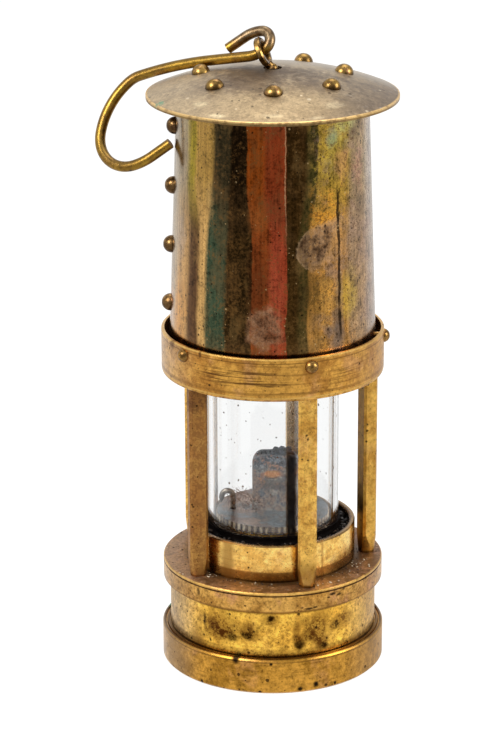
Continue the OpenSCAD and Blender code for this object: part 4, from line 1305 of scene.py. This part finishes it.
@dataclass
class Cage:
    """The two plates, the pillars, the chimney glass in its collar, and the band."""

    plate_top: float = 42.1
    plate_out: float = 43.6
    collar_top: float = 57.2
    collar_foot: float = 39.1
    collar_in: float = 30.4
    collar_out: float = 32.6
    glass_foot: float = 58.3
    washer_out: float = 26.8
    seat_in: float = 23.2
    band_out: float = 43.4
    screw_z: float = 133.4
    screw_turns: tuple[float, ...] = (19.5, 87.3, 163.0, 236.0, -52.2)
    grains: np.random.Generator = field(default_factory=lambda: np.random.default_rng(7))

    def finishes(self) -> None:
        """Dresses the cage's CAD nodes."""
        # Dark lines at joints: the pillars' and collar's feet (42.1, 42.2 mm), the collar's lip (57.4 mm) and inner
        # edge (30.4 mm) are dirt and painted contact shade.
        dirt = paint("2C1C10")
        gilt = paint("E2B866")
        plate = DustyBrass(
            "plate_brass", gold=paint("D2A052"), deep=paint("AA7A38"), brown=paint("5C3A1C"), rose_share=0.4,
            rose=paint("B07C58"), brown_share=0.25, pit=2.6, pit_share=0.3, rough=0.3, contrast=0.85, flank_sheen=0.3, seed=4.0,
            inner=self.collar_out, outer=self.plate_out,
            lines=(Line(Mark.HEIGHT, 40.7, 0.28, dirt, 0.95, 0.6), Line(Mark.HEIGHT, 41.6, 0.4, gilt, 0.7),
                   Line(Mark.HEIGHT, 34.0, 0.8, paint("6A4822"), 0.6)),
            stains=(Stain(32.0, 39.3, 1.9, 0.55, 0.95, dirt, 0.0, 0.7), Stain(36.0, 38.5, 1.5, 0.5, 0.9, dirt, 0.0, 0.7),
                    Stain(29.5, 38.2, 0.9, 0.4, 0.9, dirt, 0.0, 0.6), Stain(39.0, 40.2, 0.9, 0.5, 0.8, dirt, 0.0, 0.6),
                    Stain(18.5, 34.9, 2.4, 0.4, 0.95, dirt, 0.0, 0.8), Stain(22.0, 35.2, 1.2, 0.4, 0.9, dirt, 0.0, 0.7),
                    Stain(14.8, 35.6, 0.7, 0.35, 0.8, dirt, 0.0, 0.6), Stain(-42.0, 38.4, 1.0, 1.6, 0.8, dirt, 0.2)),
        ).material()
        collar = Brass(
            "collar_brass", gold=paint("FFD478"), deep=paint("E6B058"), brown=paint("966830"), brown_share=0.12,
            rose_share=0.15, rose=paint("D8A478"), cloud=10.0, pit=2.8, pit_share=0.25, rough=0.25, contrast=0.6, seed=5.0,
            lines=(Line(Mark.HEIGHT, 43.6, 3.0, paint("7C5020"), 0.9, 0.8), Line(Mark.HEIGHT, 42.2, 1.0, dirt, 0.85),
                   Line(Mark.HEIGHT, 57.4, 0.9, paint("5C3E28"), 0.95, 0.6), Line(Mark.RADIUS, 30.4, 1.0, paint("3A2012"), 0.9, 0.7)),
            stains=(Stain(-33.0, 50.0, 5.0, 14.0, 0.7, paint("8A5A24"), 0.2, 0.3),
                    Stain(17.0, 50.0, 1.2, 14.0, 0.8, paint("7C4C1C"), 0.1, 0.2),
                    Stain(36.0, 50.0, 1.0, 12.0, 0.5, paint("7C4C1C"), 0.1, 0.2)),
        ).material()
        pillar = Brass(
            "pillar_brass", gold=paint("E4B458"), deep=paint("C49040"), brown=paint("5E3A16"), brown_share=0.22,
            rose_share=0.12, cloud=9.0, pit=2.0, pit_share=0.45, streaks=(1.0, 1.0, 0.05), rough=0.27, contrast=0.65,
            freckles=0.25, inward=0.75, seed=6.0,
            stains=(Stain(-52.0, 82.0, 12.0, 60.0, 0.6, paint("9A6640"), 0.1, 0.4),
                              Stain(-52.0, 82.0, 12.0, 60.0, 0.6, paint("6A4028"), 0.9, 0.4),
                              Stain(-52.0, 118.0, 10.0, 7.0, 0.6, paint("5A3C2A"), 0.4),
                              # Painted reflection: the right pillar darkened for the dark surroundings that it
                              # reflects.
                              Stain(92.5, 82.0, 12.0, 60.0, 0.3, paint("94702E"), 0.3, 0.4),
                              Stain(18.0, 48.0, 8.0, 5.0, 0.5, paint("5A3A18"), 0.6)),
            lines=(Line(Mark.HEIGHT, 42.1, 1.2, dirt, 0.85),),
        ).material()
        scratch = paint("5A3A1C")
        band = Brass(
            "band_brass", gold=paint("D29C48"), deep=paint("B07A36"), brown=paint("6A4420"), brown_share=0.25,
            rose_share=0.2, rose=paint("C0906A"), cloud=13.0, pit=2.6, pit_share=0.28, streaks=(0.03, 0.03, 1.0),
            streak_share=0.6, rough=0.3, contrast=0.6, flank_sheen=0.35, freckles=0.2, seed=7.0,
            lines=(Line(Mark.HEIGHT, 136.7, 0.5, gilt, 0.7), Line(Mark.HEIGHT, 121.4, 0.5, gilt, 0.6),
                   Line(Mark.HEIGHT, 135.2, 0.3, paint("5A3A1A"), 0.7), Line(Mark.HEIGHT, 123.0, 0.8, paint("7A5426"), 0.5)),
            stains=(Stain(-40.0, 136.0, 0.8, 1.3, 0.95, scratch, 0.2), Stain(-63.0, 135.6, 2.2, 1.6, 0.9, scratch, 0.4),
                    Stain(19.5, 133.4, 6.0, 4.4, 0.4, paint("7A5424"), 0.4),
                    # Painted shade: the band's right side darkened.
                    Stain(64.0, 131.0, 20.0, 14.0, 0.25, paint("86602E"), 0.2, 0.4)),
            scuffs=(Stain(-28.0, 129.5, 10.0, 3.4, 0.8, scratch), Stain(-8.0, 128.0, 14.0, 3.4, 0.85, scratch),
                    Stain(-18.0, 131.5, 12.0, 1.6, 0.6, scratch), Stain(40.0, 129.0, 12.0, 3.0, 0.35, scratch)),
        ).material()
        Slots.dress(plate, "lower_plate", "upper_plate")
        Slots.dress(collar, "glass_collar")
        Slots.dress(pillar, *(f"pillar_{i}" for i in range(1, 6)))
        Slots.dress(band, "band")
        Slots.dress(self.soot, "lower_glass_washer", "upper_glass_washer", "glass_seat_ring")
        Slots.dress(Glass("glass", self.glass_foot).material(), "glass_chimney")

    def seat(self) -> None:
        """The lumpy sooted putty that the glass stands in."""
        lumps = self.grains.normal(0.0, 1.0, (9, 3))
        edge = self.collar_in - 0.05

        def lumpy(a: float, r: float, z: float) -> tuple[float, float]:
            """Lumps on the ring's upper side."""
            if z < self.collar_top - 4.0:
                return r, z
            wave = sum(math.sin((3 + 4 * i) * a + k[1] * 3 + r * k[2]) * k[0] for i, k in enumerate(lumps))
            return r, z + 0.17 * wave * min(1.0, max(0.0, (edge - r) * 1.4), max(0.0, (r - self.washer_out) * 1.2))

        top = self.collar_top
        profile = [(edge, self.collar_foot), (edge, top - 2.2)]
        profile += [(edge - k * 0.34, top - 2.2 + 0.9 * math.sin(k / 10 * math.pi / 2)) for k in range(1, 10)]
        profile += [(self.washer_out + 0.1, top - 0.5), (self.washer_out, top - 0.02), (self.seat_in, top - 0.02),
                    (self.seat_in, self.collar_foot)]
        points, faces = lathe(profile, 260, lumpy)
        Slots.place(mesh_object("seat_putty", points, faces, self.soot, 60.0), "cage", "soot_seal", "glass_seat_ring")

    def crumbs(self) -> None:
        """Soot crumbs in the glass seat, and pale and dark crumbs on the lower plate."""
        top = self.collar_top
        char = Soft("char_crumb", paint("080504"), paint("342820"), 0.6, rough=0.34, depth=0.05, shine=0.4).material()
        Strewn("seat_crumbs", self.washer_out + 0.5, self.collar_in - 0.5, (top - 0.9, top - 2.0), 0.9, 0.5,
               seed=5).build(char, "cage", "soot_seal")
        pale = Soft("pale_crumb", paint("8C7A62"), paint("E6DCC6"), 0.4, rough=0.8, depth=0.05).material()
        heaps = ((-7.0, 34.6, 3.0), (21.0, 34.4, 4.0), (50.0, 35.5, 5.0), (68.0, 35.0, 4.0), (-44.0, 33.8, 3.0),
                 (-60.0, 38.0, 3.0), (33.0, 39.0, 3.0))
        Strewn("pale_crumbs", self.collar_out + 0.4, self.plate_out - 0.9, (self.plate_top, self.plate_top), 0.5, 0.3,
               heaps, 0.05, 11).build(pale, "cage", "plate_brass")
        dark = Soft("dark_crumb", paint("140E0A"), paint("3C2A1C"), 0.4, rough=0.7, depth=0.05).material()
        near = ((-31.0, 33.4, 3.0), (-4.0, 33.2, 4.0), (24.0, 33.4, 4.0), (60.0, 33.4, 6.0), (95.0, 38.0, 4.0))
        Strewn("dark_crumbs", self.collar_out + 0.2, self.plate_out - 1.0, (self.plate_top, self.plate_top), 0.5, 0.5,
               near, 0.1, 12).build(dark, "cage", "plate_brass")

    def screws(self) -> None:
        """The band's five screws."""
        brass = Brass("screw_brass", gold=paint("9C7640"), deep=paint("6C5028"), brown=paint("3A2412"), brown_share=0.35,
                      cloud=3.0, pit=0.9, pit_share=0.2, rough=0.3, contrast=0.9, seed=8.0).material()
        places = tuple(outward(turn, self.band_out, self.screw_z) for turn in self.screw_turns)
        Rivets("band_screw_heads", 5.5, 2.3, 3.0, 4.8, 3.0, 0.06, places, 4).build(
            brass, "cage", "rivet_brass", "band_screws")

    def build(self) -> None:
        """Makes the cage's pieces."""
        self.soot = Soft("soot_seal", paint("020101"), paint("0E0907"), 0.9, rough=0.5, depth=0.15, shine=0.02).material()
        self.finishes()
        self.seat()
        self.crumbs()
        self.screws()


@dataclass
class Bonnet:
    """The hood with its seam, the gauze inside it, and the domed cap with their rivets."""

    hood_foot: tuple[float, float] = (40.47, 123.5)
    hood_head: tuple[float, float] = (36.65, 232.2)
    seam_turn: float = -88.5
    seam_drop: float = 15.1
    seam_pitch: float = 23.4
    seam_rivets: int = 4
    cap_centre: float = 116.483
    cap_sphere: float = 122.773
    cap_circle: float = 28.0
    cap_rivets: int = 7
    gauze_out: float = 21.6
    gauze_taper: float = 1.6
    gauze_foot: float = 126.0
    gauze_tall: float = 80.0
    mesh_pitch: float = 1.1

    def finishes(self) -> None:
        """Dresses the hood and the cap."""
        # The bands' edges; the bands are heat tarnish and painted reflections of the surroundings.
        edges = (
            Edge(-150, -150, 5.0, paint("5A4028"), paint("5A4028")), Edge(-128, -128, 4.0, paint("86643E"), paint("7A5632")),
            Edge(-106, -106, 5.0, paint("A58A62"), paint("A88A60")), Edge(-84, -84, 5.0, paint("B2A288"), paint("C0A680")),
            Edge(-71, -69, 5.0, paint("A69472"), paint("C89C64")),
            Edge(-59, -56, 2.6, paint("988428"), paint("5C4028")), Edge(-51, -46.5, 2.0, paint("A88444"), paint("D0A464")),
            Edge(-37, -41, 1.6, paint("3A3220"), paint("3E4C38")), Edge(-25.5, -27.5, 1.2, paint("20150A"), paint("302210")),
            Edge(-15.2, -12.2, 0.5, paint("9C4C18"), paint("A04E22")), Edge(-5, -2, 2.4, paint("9E4422"), paint("B04A2C")),
            Edge(7.6, 7.4, 0.4, paint("3C2810"), paint("463014")), Edge(20, 14, 2.0, paint("4C4420"), paint("4E4220")),
            Edge(26.7, 19.5, 0.8, paint("BC983C"), paint("BC8640")), Edge(50, 47, 3.0, paint("AE946A"), paint("B08E68")),
            Edge(68, 66, 5.0, paint("BAAA98"), paint("B29C88")), Edge(100, 100, 5.0, paint("927656"), paint("8E7050")),
            Edge(124, 124, 4.0, paint("6A4A2C"), paint("6A4A2C")), Edge(148, 148, 4.0, paint("8C6A40"), paint("86643C")),
            Edge(168, 168, 4.0, paint("7A5A38"), paint("7A5A38")),
        )
        # Stains, and painted highlights among them: the bright orange-red area at 1.5° and the bright gold areas
        # between 30° and 48°.
        stains_and_highlights = (
            Stain(-9.0, 190.0, 4.5, 4.5, 0.5, paint("BC6A30"), 0.0, 0.5), Stain(1.5, 162.0, 4.5, 17.0, 0.5, paint("CC5E40"), 0.0),
            Stain(-9.0, 160.0, 4.6, 20.0, 0.65, paint("5E301A"), 0.2), Stain(33.0, 190.0, 6.0, 11.0, 0.6, paint("D8942C"), 0.7),
            Stain(46.0, 158.0, 7.5, 9.0, 0.75, paint("C0A040"), 0.45), Stain(48.0, 133.0, 6.5, 8.0, 0.75, paint("D8984A"), 0.8),
            Stain(30.0, 158.0, 6.0, 9.0, 0.5, paint("B89048"), 0.8), Stain(37.0, 140.0, 5.0, 12.0, 0.85, paint("706660"), 0.2),
            Stain(25.0, 134.0, 6.0, 12.0, 0.75, paint("84683E"), 0.6), Stain(22.0, 160.0, 4.0, 10.0, 0.8, paint("54401C"), 0.8), Stain(57.0, 205.0, 6.0, 8.0, 0.45, paint("BC8878"), 0.8),
            Stain(52.0, 219.0, 4.5, 3.0, 0.6, paint("4A3018"), 0.6, 1.2), Stain(58.0, 190.0, 6.0, 7.0, 0.55, paint("6E5A4C"), 0.5, 1.1),
            Stain(40.0, 212.0, 9.0, 7.0, 0.45, paint("7A7A3C"), 0.5), Stain(43.0, 209.0, 5.0, 5.0, 0.5, paint("C88A5C"), 0.3, 1.1),
            Stain(36.0, 219.5, 3.6, 3.6, 0.5, paint("6E9C80"), 0.3, 1.1), Stain(30.0, 203.0, 3.0, 5.0, 0.6, paint("6A5626"), 0.6, 1.1),
            Stain(47.0, 176.0, 7.0, 9.0, 0.45, paint("8A7460"), 0.5, 1.1), Stain(-63.0, 205.0, 5.0, 12.0, 0.5, paint("8E7A66"), 0.6),
            Stain(-66.0, 178.0, 6.0, 9.0, 0.45, paint("A8988A"), 0.4), Stain(-60.0, 190.0, 3.0, 8.0, 0.5, paint("6E5A3C"), 0.7),
            Stain(-76.0, 188.0, 6.0, 30.0, 0.4, paint("8A7658"), 0.7),
            Stain(-66.0, 140.0, 7.0, 16.0, 0.7, paint("DC9E54"), 0.3), Stain(-80.0, 146.0, 6.0, 10.0, 0.4, paint("D8A890"), 0.3),
            Stain(-38.5, 196.0, 2.4, 7.0, 0.5, paint("A08454"), 0.7), Stain(-20.0, 165.0, 7.0, 22.0, 0.5, paint("5C4020"), 0.9),
        )
        hood = HoodBrass("hood_brass", brown=paint("7A5A38"), edges=edges, stains=stains_and_highlights).material()
        pale, tanned = paint("DCCAA4"), paint("5C4836")
        marks = (
            Stain(-41.6, 232.3, 3.4, 0.5, 0.5, pale), Stain(-26.9, 230.4, 3.4, 0.4, 0.55, pale),
            Stain(-0.3, 231.1, 5.0, 0.4, 0.25, pale), Stain(33.8, 232.5, 5.0, 0.6, 0.3, pale),
            Stain(20.0, 230.2, 3.0, 0.3, 0.3, pale), Stain(-23.0, 237.3, 30.0, 1.6, 0.6, tanned, ragged=1.8),
            Stain(-54.0, 236.3, 22.0, 1.8, 0.5, tanned, ragged=1.8), Stain(40.0, 236.8, 30.0, 1.4, 0.4, tanned, ragged=1.8),
        )
        cap = CapBrass("cap_brass", gold=paint("948268"), deep=paint("766652"), brown=paint("54443A"),
                       stains=marks).material()
        Slots.dress(hood, "hood")
        Slots.dress(cap, "cap")

    def rivets(self) -> None:
        """The seam's four rivets and the cap's seven."""
        worn = Brass("seam_rivet_brass", gold=paint("8C6C44"), deep=paint("5E4628"), brown=paint("342214"),
                     brown_share=0.35, cloud=3.5, pit=0.9, pit_share=0.3, rough=0.3, contrast=0.7, underside_shade=0.6,
                     seed=9.0).material()
        (low_r, low_z), (top_r, top_z) = self.hood_foot, self.hood_head
        places = []
        for k in range(self.seam_rivets):
            z = top_z - self.seam_drop - self.seam_pitch * k
            places.append(outward(self.seam_turn, low_r + (top_r - low_r) * (z - low_z) / (top_z - low_z) + 0.1, z))
        Rivets("seam_rivet_heads", 6.9, 3.4, 3.2, 2.45, 5.0, 0.05, tuple(places), 5).build(
            worn, "cage", "rivet_brass", "seam_rivets")
        bright = Brass("cap_rivet_brass", gold=paint("92743E"), deep=paint("624A28"), brown=paint("34220F"),
                       brown_share=0.3, cloud=3.5, pit=0.9, pit_share=0.25, rough=0.32, contrast=0.6,
                       freckles=0.2, underside_shade=0.85, seed=12.0).material()
        tilt = math.asin(self.cap_circle / self.cap_sphere)
        places = []
        for k in range(self.cap_rivets):
            turn = Matrix.Rotation(2 * math.pi * k / self.cap_rivets, 3, "Z") @ Matrix.Rotation(tilt, 3, "X")
            out = turn @ Vector((0, 0, 1))
            places.append((out * self.cap_sphere + Vector((0, 0, self.cap_centre)), out))
        Rivets("cap_rivet_heads", 7.4, 3.2, 3.2, 2.35, 5.0, 0.04, tuple(places), 6).build(
            bright, "cage", "rivet_brass", "cap_rivets")

    def gauze(self) -> None:
        """The gauze: upright wires inside rings of wire, and a woven lid."""
        wire = 0.2
        ups = round(2 * math.pi * self.gauze_out / self.mesh_pitch)
        rows = round(self.gauze_tall / self.mesh_pitch)
        tree = Tree("gauze", uprights=ups, rings=rows, wire=wire * MM, wide=self.gauze_out * MM, tall=self.gauze_tall * MM,
                    taper=self.gauze_taper * MM)
        wide, tall, taper, thin = (tree.get(name) for name in ("wide", "tall", "taper", "wire"))
        section = tree.node("GeometryNodeCurvePrimitiveCircle", None, {"Radius": thin, "Resolution": 4}).outputs[0]

        def sweep(curve: bpy.types.NodeSocket) -> bpy.types.NodeSocket:
            """A wire along a curve."""
            return tree.step_to("GeometryNodeCurveToMesh", curve, None, {1: section, "Fill Caps": True})

        foot = self.gauze_foot * MM
        line = tree.node("GeometryNodeCurvePrimitiveLine", None, {
            "Start": tree.join(0.0, 0.0, foot), "End": tree.join(-taper, 0.0, foot + tall)}).outputs[0]
        posts = tree.node("GeometryNodeMeshCircle", None, {"Vertices": tree.get("uprights"), "Radius": wide - thin * 2.0})
        number = Sock(tree, tree.node("GeometryNodeInputIndex").outputs[0])
        turn = tree.join(0.0, 0.0, number * (2 * math.pi / ups))
        fence = tree.node("GeometryNodeInstanceOnPoints", None, {
            "Points": posts.outputs[0], "Instance": sweep(line), "Rotation": turn}).outputs[0]
        coil = tree.node("GeometryNodeCurveSpiral", None, {
            "Resolution": 72, "Rotations": tree.get("rings"), "Start Radius": wide - thin,
            "End Radius": wide - taper - thin, "Height": tall}).outputs[0]
        coil = tree.step_to("GeometryNodeTransform", sweep(coil), None, {"Translation": tree.join(0.0, 0.0, foot)})
        parts = [fence, coil]
        unit = sweep(tree.node("GeometryNodeCurvePrimitiveLine", None, {
            "Start": (-1.0, 0.0, 0.0), "End": (1.0, 0.0, 0.0)}).outputs[0])
        reach = wide - taper
        across = round(2 * (self.gauze_out - self.gauze_taper) / self.mesh_pitch) - 1
        place = (number - (across - 1) / 2) * (self.mesh_pitch * MM)
        half = tree.math("SQRT", reach * reach - place * place)
        for side, level in ((0.0, 0.0), (math.pi / 2, 2.0)):
            rods = tree.node("GeometryNodeMeshLine", {"mode": "OFFSET"}, {"Count": across, "Offset": (0.0, 0.0, 0.0)})
            rods = tree.step_to("GeometryNodeSetPosition", rods.outputs[0], None, {"Position": tree.join(0.0, place, 0.0)})
            lid = tree.node("GeometryNodeInstanceOnPoints", None, {
                "Points": rods, "Instance": unit, "Scale": tree.join(half, 1.0, 1.0)}).outputs[0]
            lid = tree.step_to("GeometryNodeTransform", lid, None, {
                "Rotation": (0.0, 0.0, side), "Translation": tree.join(0.0, 0.0, foot + tall - thin * (level + 1.0))})
            parts.append(lid)
        joined = tree.node("GeometryNodeJoinGeometry")
        for part in parts:
            tree.tree.links.new(part, joined.inputs[0])
        piece = tree.run("gauze_wires", joined.outputs[0], Steel("gauze_steel").material())
        Slots.place(piece, "cage", "gauze_steel", "gauze")

    def build(self) -> None:
        """Makes the bonnet's pieces."""
        self.finishes()
        self.rivets()
        self.gauze()


@dataclass
class Hook:
    """The swivel eye and the long wire hook through it.

    The wire is drawn as a list of steps: bend radius or length, turn in degrees and roll. It starts at each end of
    the crook's round part, which goes round `pivot` in a plane turned by `yaw` and leant by `lean`.
    """

    wire: float = 4.1
    pivot: tuple[float, float, float] = (-4.667, 3.593, 248.507)
    yaw: float = 33.8
    lean: float = 31.5
    crook: float = 4.2
    high: float = 100.0
    low: float = -48.0
    near: tuple[tuple[float, float, float], ...] = ((13, 33, 0), (8, 0, 0))
    far: tuple[tuple[float, float, float], ...] = (
        (1.2, 0, 0), (10.9, 29.1, 180), (16.8, 0, 180), (147, 12.2, 0), (11, 27, 0), (28, 47.2, 0),
        (14, 105, 0), (24.1, 20.1, 0), (8.8, 0, 0),
    )

    def steps(self, start: Matrix, steps: Iterable[tuple[float, float, float]]) -> list[Vector]:
        """Points along a run of straight and bent wire.

        Args:
            start: place and direction of its beginning, which looks along its Z.
            steps: its steps.

        Returns:
            The points, without the first.
        """
        out, at = [], start.copy()
        for size, turn, roll in steps:
            at = at @ Matrix.Rotation(math.radians(roll), 4, "Z")
            if turn == 0:
                count = max(2, round(size / 1.2))
                out += [at @ Vector((0, 0, size * k / count)) for k in range(1, count + 1)]
                at = at @ Matrix.Translation((0, 0, size))
                continue
            t = math.radians(turn)
            count = max(3, round(size * t / 0.9))
            for k in range(1, count + 1):
                a = t * k / count
                out.append(at @ Vector((size * (1 - math.cos(a)), 0, size * math.sin(a))))
            at = at @ Matrix.Translation((size * (1 - math.cos(t)), 0, size * math.sin(t)))
            at = at @ Matrix.Rotation(t, 4, "Y")
        return out

    def end_at(self, angle: float) -> Matrix:
        """Place and direction of the wire where the crook's round part ends."""
        place = (self.crook * math.cos(math.radians(angle)), 0, self.crook * math.sin(math.radians(angle)))
        tip = Matrix.Rotation(math.radians(-90 - abs(abs(angle) - 90)), 4, "Y")
        return Matrix.Translation(place) @ tip @ Matrix.Rotation(math.pi, 4, "Z")

    def path(self) -> list[Vector]:
        """The wire's middle line, from the crook's free end to the big hook's tip, in millimetres."""
        plane = Matrix.Translation(self.pivot) @ Matrix.Rotation(math.radians(-self.yaw), 4, "Z")
        plane = plane @ Matrix.Rotation(math.radians(-self.lean), 4, "X")
        first = self.steps(plane @ self.end_at(self.high), self.near)[::-1]
        angles = np.linspace(math.radians(self.high), math.radians(self.low), 22)
        arc = [plane @ Vector((self.crook * math.cos(a), 0, self.crook * math.sin(a))) for a in angles]
        return first + arc + self.steps(plane @ self.end_at(self.low), self.far)

    def finishes(self) -> tuple[bpy.types.Material, bpy.types.Material]:
        """Materials of the wire and of the swivel eye."""
        s = Surface("hook_brass")
        base = Brass("hook_brass", gold=paint("98762C"), deep=paint("785A28"), brown=paint("4A3216"), brown_share=0.3,
                     cloud=12.0, pit=2.2, pit_share=0.25, streaks=(0.2, 0.2, 0.2), streak_share=0.1, rough=0.33,
                     contrast=0.3, freckles=0.1, seed=10.0)
        colour, rough, relief = base.coat(s)
        # Painted shading: upward faces of the wire darker olive, so the underside stays the brighter gold.
        colour = s.blend(s.upward.step(0.0, 0.7) * 0.5, colour, paint("6E5830"))
        dx, dy, dz = s.x - self.pivot[0], s.y - self.pivot[1], s.z - self.pivot[2]
        crook = (s.math("SQRT", dx * dx + dy * dy + dz * dz) + (s.noise(3.0, 91) - 0.5) * 5.0).step(18.0, 9.0)
        above = s.z.step(246.0, 249.5)
        colour = s.blend(crook * above * 0.8, colour, s.blend(s.noise(2.2, 92, detail=4).step(0.4, 0.6), paint("5C4A3A"), paint("7E6C56")))
        wire = s.close(colour, rough, 1.0, relief, 0.04)
        eye = Brass("eye_brass", gold=paint("8C6E3A"), deep=paint("5E4628"), brown=paint("32220F"), brown_share=0.35,
                    cloud=4.0, pit=1.3, rough=0.26, seed=11.0).material()
        return wire, eye

    def build(self) -> None:
        """Makes the wire and dresses the eye."""
        wire, eye = self.finishes()
        Slots.dress(eye, "swivel_eye")
        line = self.path()
        ends = {0: 0.8, 1: 1.0, len(line) - 1: 0.8}
        mesh = bpy.data.meshes.new("wire_line")
        mesh.from_pydata([p * MM for p in line], [(i, i + 1) for i in range(len(line) - 1)], [])
        thick = mesh.attributes.new("thick", "FLOAT", "POINT")
        for i in range(len(line)):
            thick.data[i].value = ends.get(i, 1.0)
        start = bpy.data.objects.new("wire_line", mesh)
        bpy.context.scene.collection.objects.link(start)
        tree = Tree("swept_wire", wire_radius=self.wire / 2 * MM, sides=28)
        curve = tree.step_to("GeometryNodeMeshToCurve", tree.entry.outputs["Geometry"])
        width = tree.node("GeometryNodeInputNamedAttribute", {"data_type": "FLOAT"}, {"Name": "thick"}).outputs[0]
        curve = tree.step_to("GeometryNodeSetCurveRadius", curve, None, {"Radius": width})
        ring = tree.node("GeometryNodeCurvePrimitiveCircle", None,
                         {"Radius": tree.get("wire_radius"), "Resolution": tree.get("sides")})
        solid = tree.step_to("GeometryNodeCurveToMesh", curve, None, {1: ring.outputs[0], "Fill Caps": True})
        piece = tree.run("hook_wire", solid, wire, start)
        settle(piece, 40.0)
        Slots.place(piece, "hook", "hook_brass", "hook")


@dataclass
class Studio:
    """Floor, lights, sky and camera."""

    width: int = 504
    height: int = 756
    focal: float = 3022.6
    camera_at: tuple[float, float, float] = (-8.1, -1121.6, 492.4)
    pitch: float = 18.585
    roll: float = -0.131
    sensor: float = 36.0

    def camera(self) -> None:
        """The camera at the photograph's viewing angle."""
        data = bpy.data.cameras.new("camera")
        data.sensor_width = self.sensor
        data.lens = self.focal * self.sensor / max(self.width, self.height)
        data.clip_start, data.clip_end = 0.05, 50.0
        made = bpy.data.objects.new("camera", data)
        bpy.context.scene.collection.objects.link(made)
        turn = Matrix.Rotation(math.radians(90 - self.pitch), 4, "X") @ Matrix.Rotation(math.radians(self.roll), 4, "Z")
        made.matrix_world = Matrix.Translation([c * MM for c in self.camera_at]) @ turn
        bpy.context.scene.camera = made

    def floor(self) -> None:
        """A pale floor: white to the camera apart from the lamp's shadow, darker far in front for reflections."""
        size = 6.0
        made = mesh_object("floor", [(-size, -size, 0), (size, -size, 0), (size, size, 0), (-size, size, 0)],
                           [(0, 1, 2, 3)], bpy.data.materials.new("blank"))
        s = Surface("floor_paper")
        path = s.node("ShaderNodeLightPath").outputs
        paper = s.node("ShaderNodeBsdfDiffuse", None, {"Color": (0.82, 0.82, 0.82)})
        lit = s.node("ShaderNodeBsdfDiffuse", None, {"Color": (0.22, 0.22, 0.22)})
        white = s.node("ShaderNodeEmission", None, {"Color": (1.0, 1.0, 1.0), "Strength": 0.84})
        seen = s.node("ShaderNodeAddShader", None, {0: lit.outputs[0], 1: white.outputs[0]})
        front = s.y.step(-330.0, -700.0)
        mirror = s.node("ShaderNodeEmission", None, {"Color": (1.0, 1.0, 1.0), "Strength": 0.97 - front * 0.45})
        direct = s.math("MAXIMUM", path["Is Camera Ray"], path["Is Transmission Ray"])
        first = s.node("ShaderNodeMixShader", None, {0: direct, 1: paper.outputs[0], 2: seen.outputs[0]})
        last = s.node("ShaderNodeMixShader", None, {0: path["Is Glossy Ray"], 1: first.outputs[0], 2: mirror.outputs[0]})
        s.node("ShaderNodeOutputMaterial", None, {"Surface": last.outputs[0]})
        made.data.materials[0] = s.material

    def lamp(self, name: str, place: Sequence[float], size: float, power: float) -> None:
        """A square soft light that looks at the lamp's middle.

        Args:
            name: its name.
            place: where it stands, in metres.
            size: its side.
            power: its power in watts.
        """
        data = bpy.data.lights.new(name, "AREA")
        data.size = size
        data.energy = power
        made = bpy.data.objects.new(name, data)
        bpy.context.scene.collection.objects.link(made)
        look = Vector((0, 0, 0.13)) - Vector(place)
        made.matrix_world = Matrix.Translation(place) @ look.to_track_quat("-Z", "Y").to_matrix().to_4x4()

    def sky(self) -> None:
        """White surroundings to the camera and glass; in metal the side behind the camera is darker."""
        world = bpy.data.worlds.new("studio")
        bpy.context.scene.world = world
        world.use_nodes = True
        world.node_tree.nodes.clear()
        g = Graph(world.node_tree)
        path = g.node("ShaderNodeLightPath").outputs
        way = Sock(g, g.node("ShaderNodeTexCoord").outputs["Generated"])
        x, y, z = g.split(way)
        turn = abs(g.math("ARCTAN2", x, -y)) * math.degrees(1)
        front = turn.step(62.0, 30.0) * z.step(0.75, 0.35)
        right = x.step(0.1, 0.8) * z.step(0.1, 0.5)
        metal = (1.0 - front * 0.55) * (1.0 - right * 0.35)
        glossy = Sock(g, path["Is Glossy Ray"])
        direct = g.math("MAXIMUM", path["Is Camera Ray"], path["Is Transmission Ray"])
        strength = direct + (1.0 - direct) * (glossy * metal + (1.0 - glossy) * 0.7)
        back = g.node("ShaderNodeBackground", None, {"Color": (1.0, 1.0, 1.0), "Strength": strength})
        g.node("ShaderNodeOutputWorld", None, {"Surface": back.outputs[0]})

    def build(self) -> None:
        """Sets up the studio."""
        self.camera()
        self.floor()
        self.sky()
        self.lamp("key", (-0.75, -0.65, 0.95), 0.55, 13.0)
        self.lamp("fill", (0.95, -0.35, 0.6), 0.6, 10.0)
        self.lamp("top", (0.1, 0.35, 1.2), 0.7, 4.0)
        bpy.context.scene.view_settings.view_transform = "Standard"


def main() -> None:
    """Builds the lamp's looks in order."""
    logging.basicConfig(level=logging.INFO, format="%(name)s: %(message)s")
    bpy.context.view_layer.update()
    studio = Studio()
    studio.build()
    for part in (Vessel(), Cage(), Bonnet(), Hook()):
        part.build()
        LOG.info("finished %s", type(part).__name__)


if __name__ == "__main__":
    main()
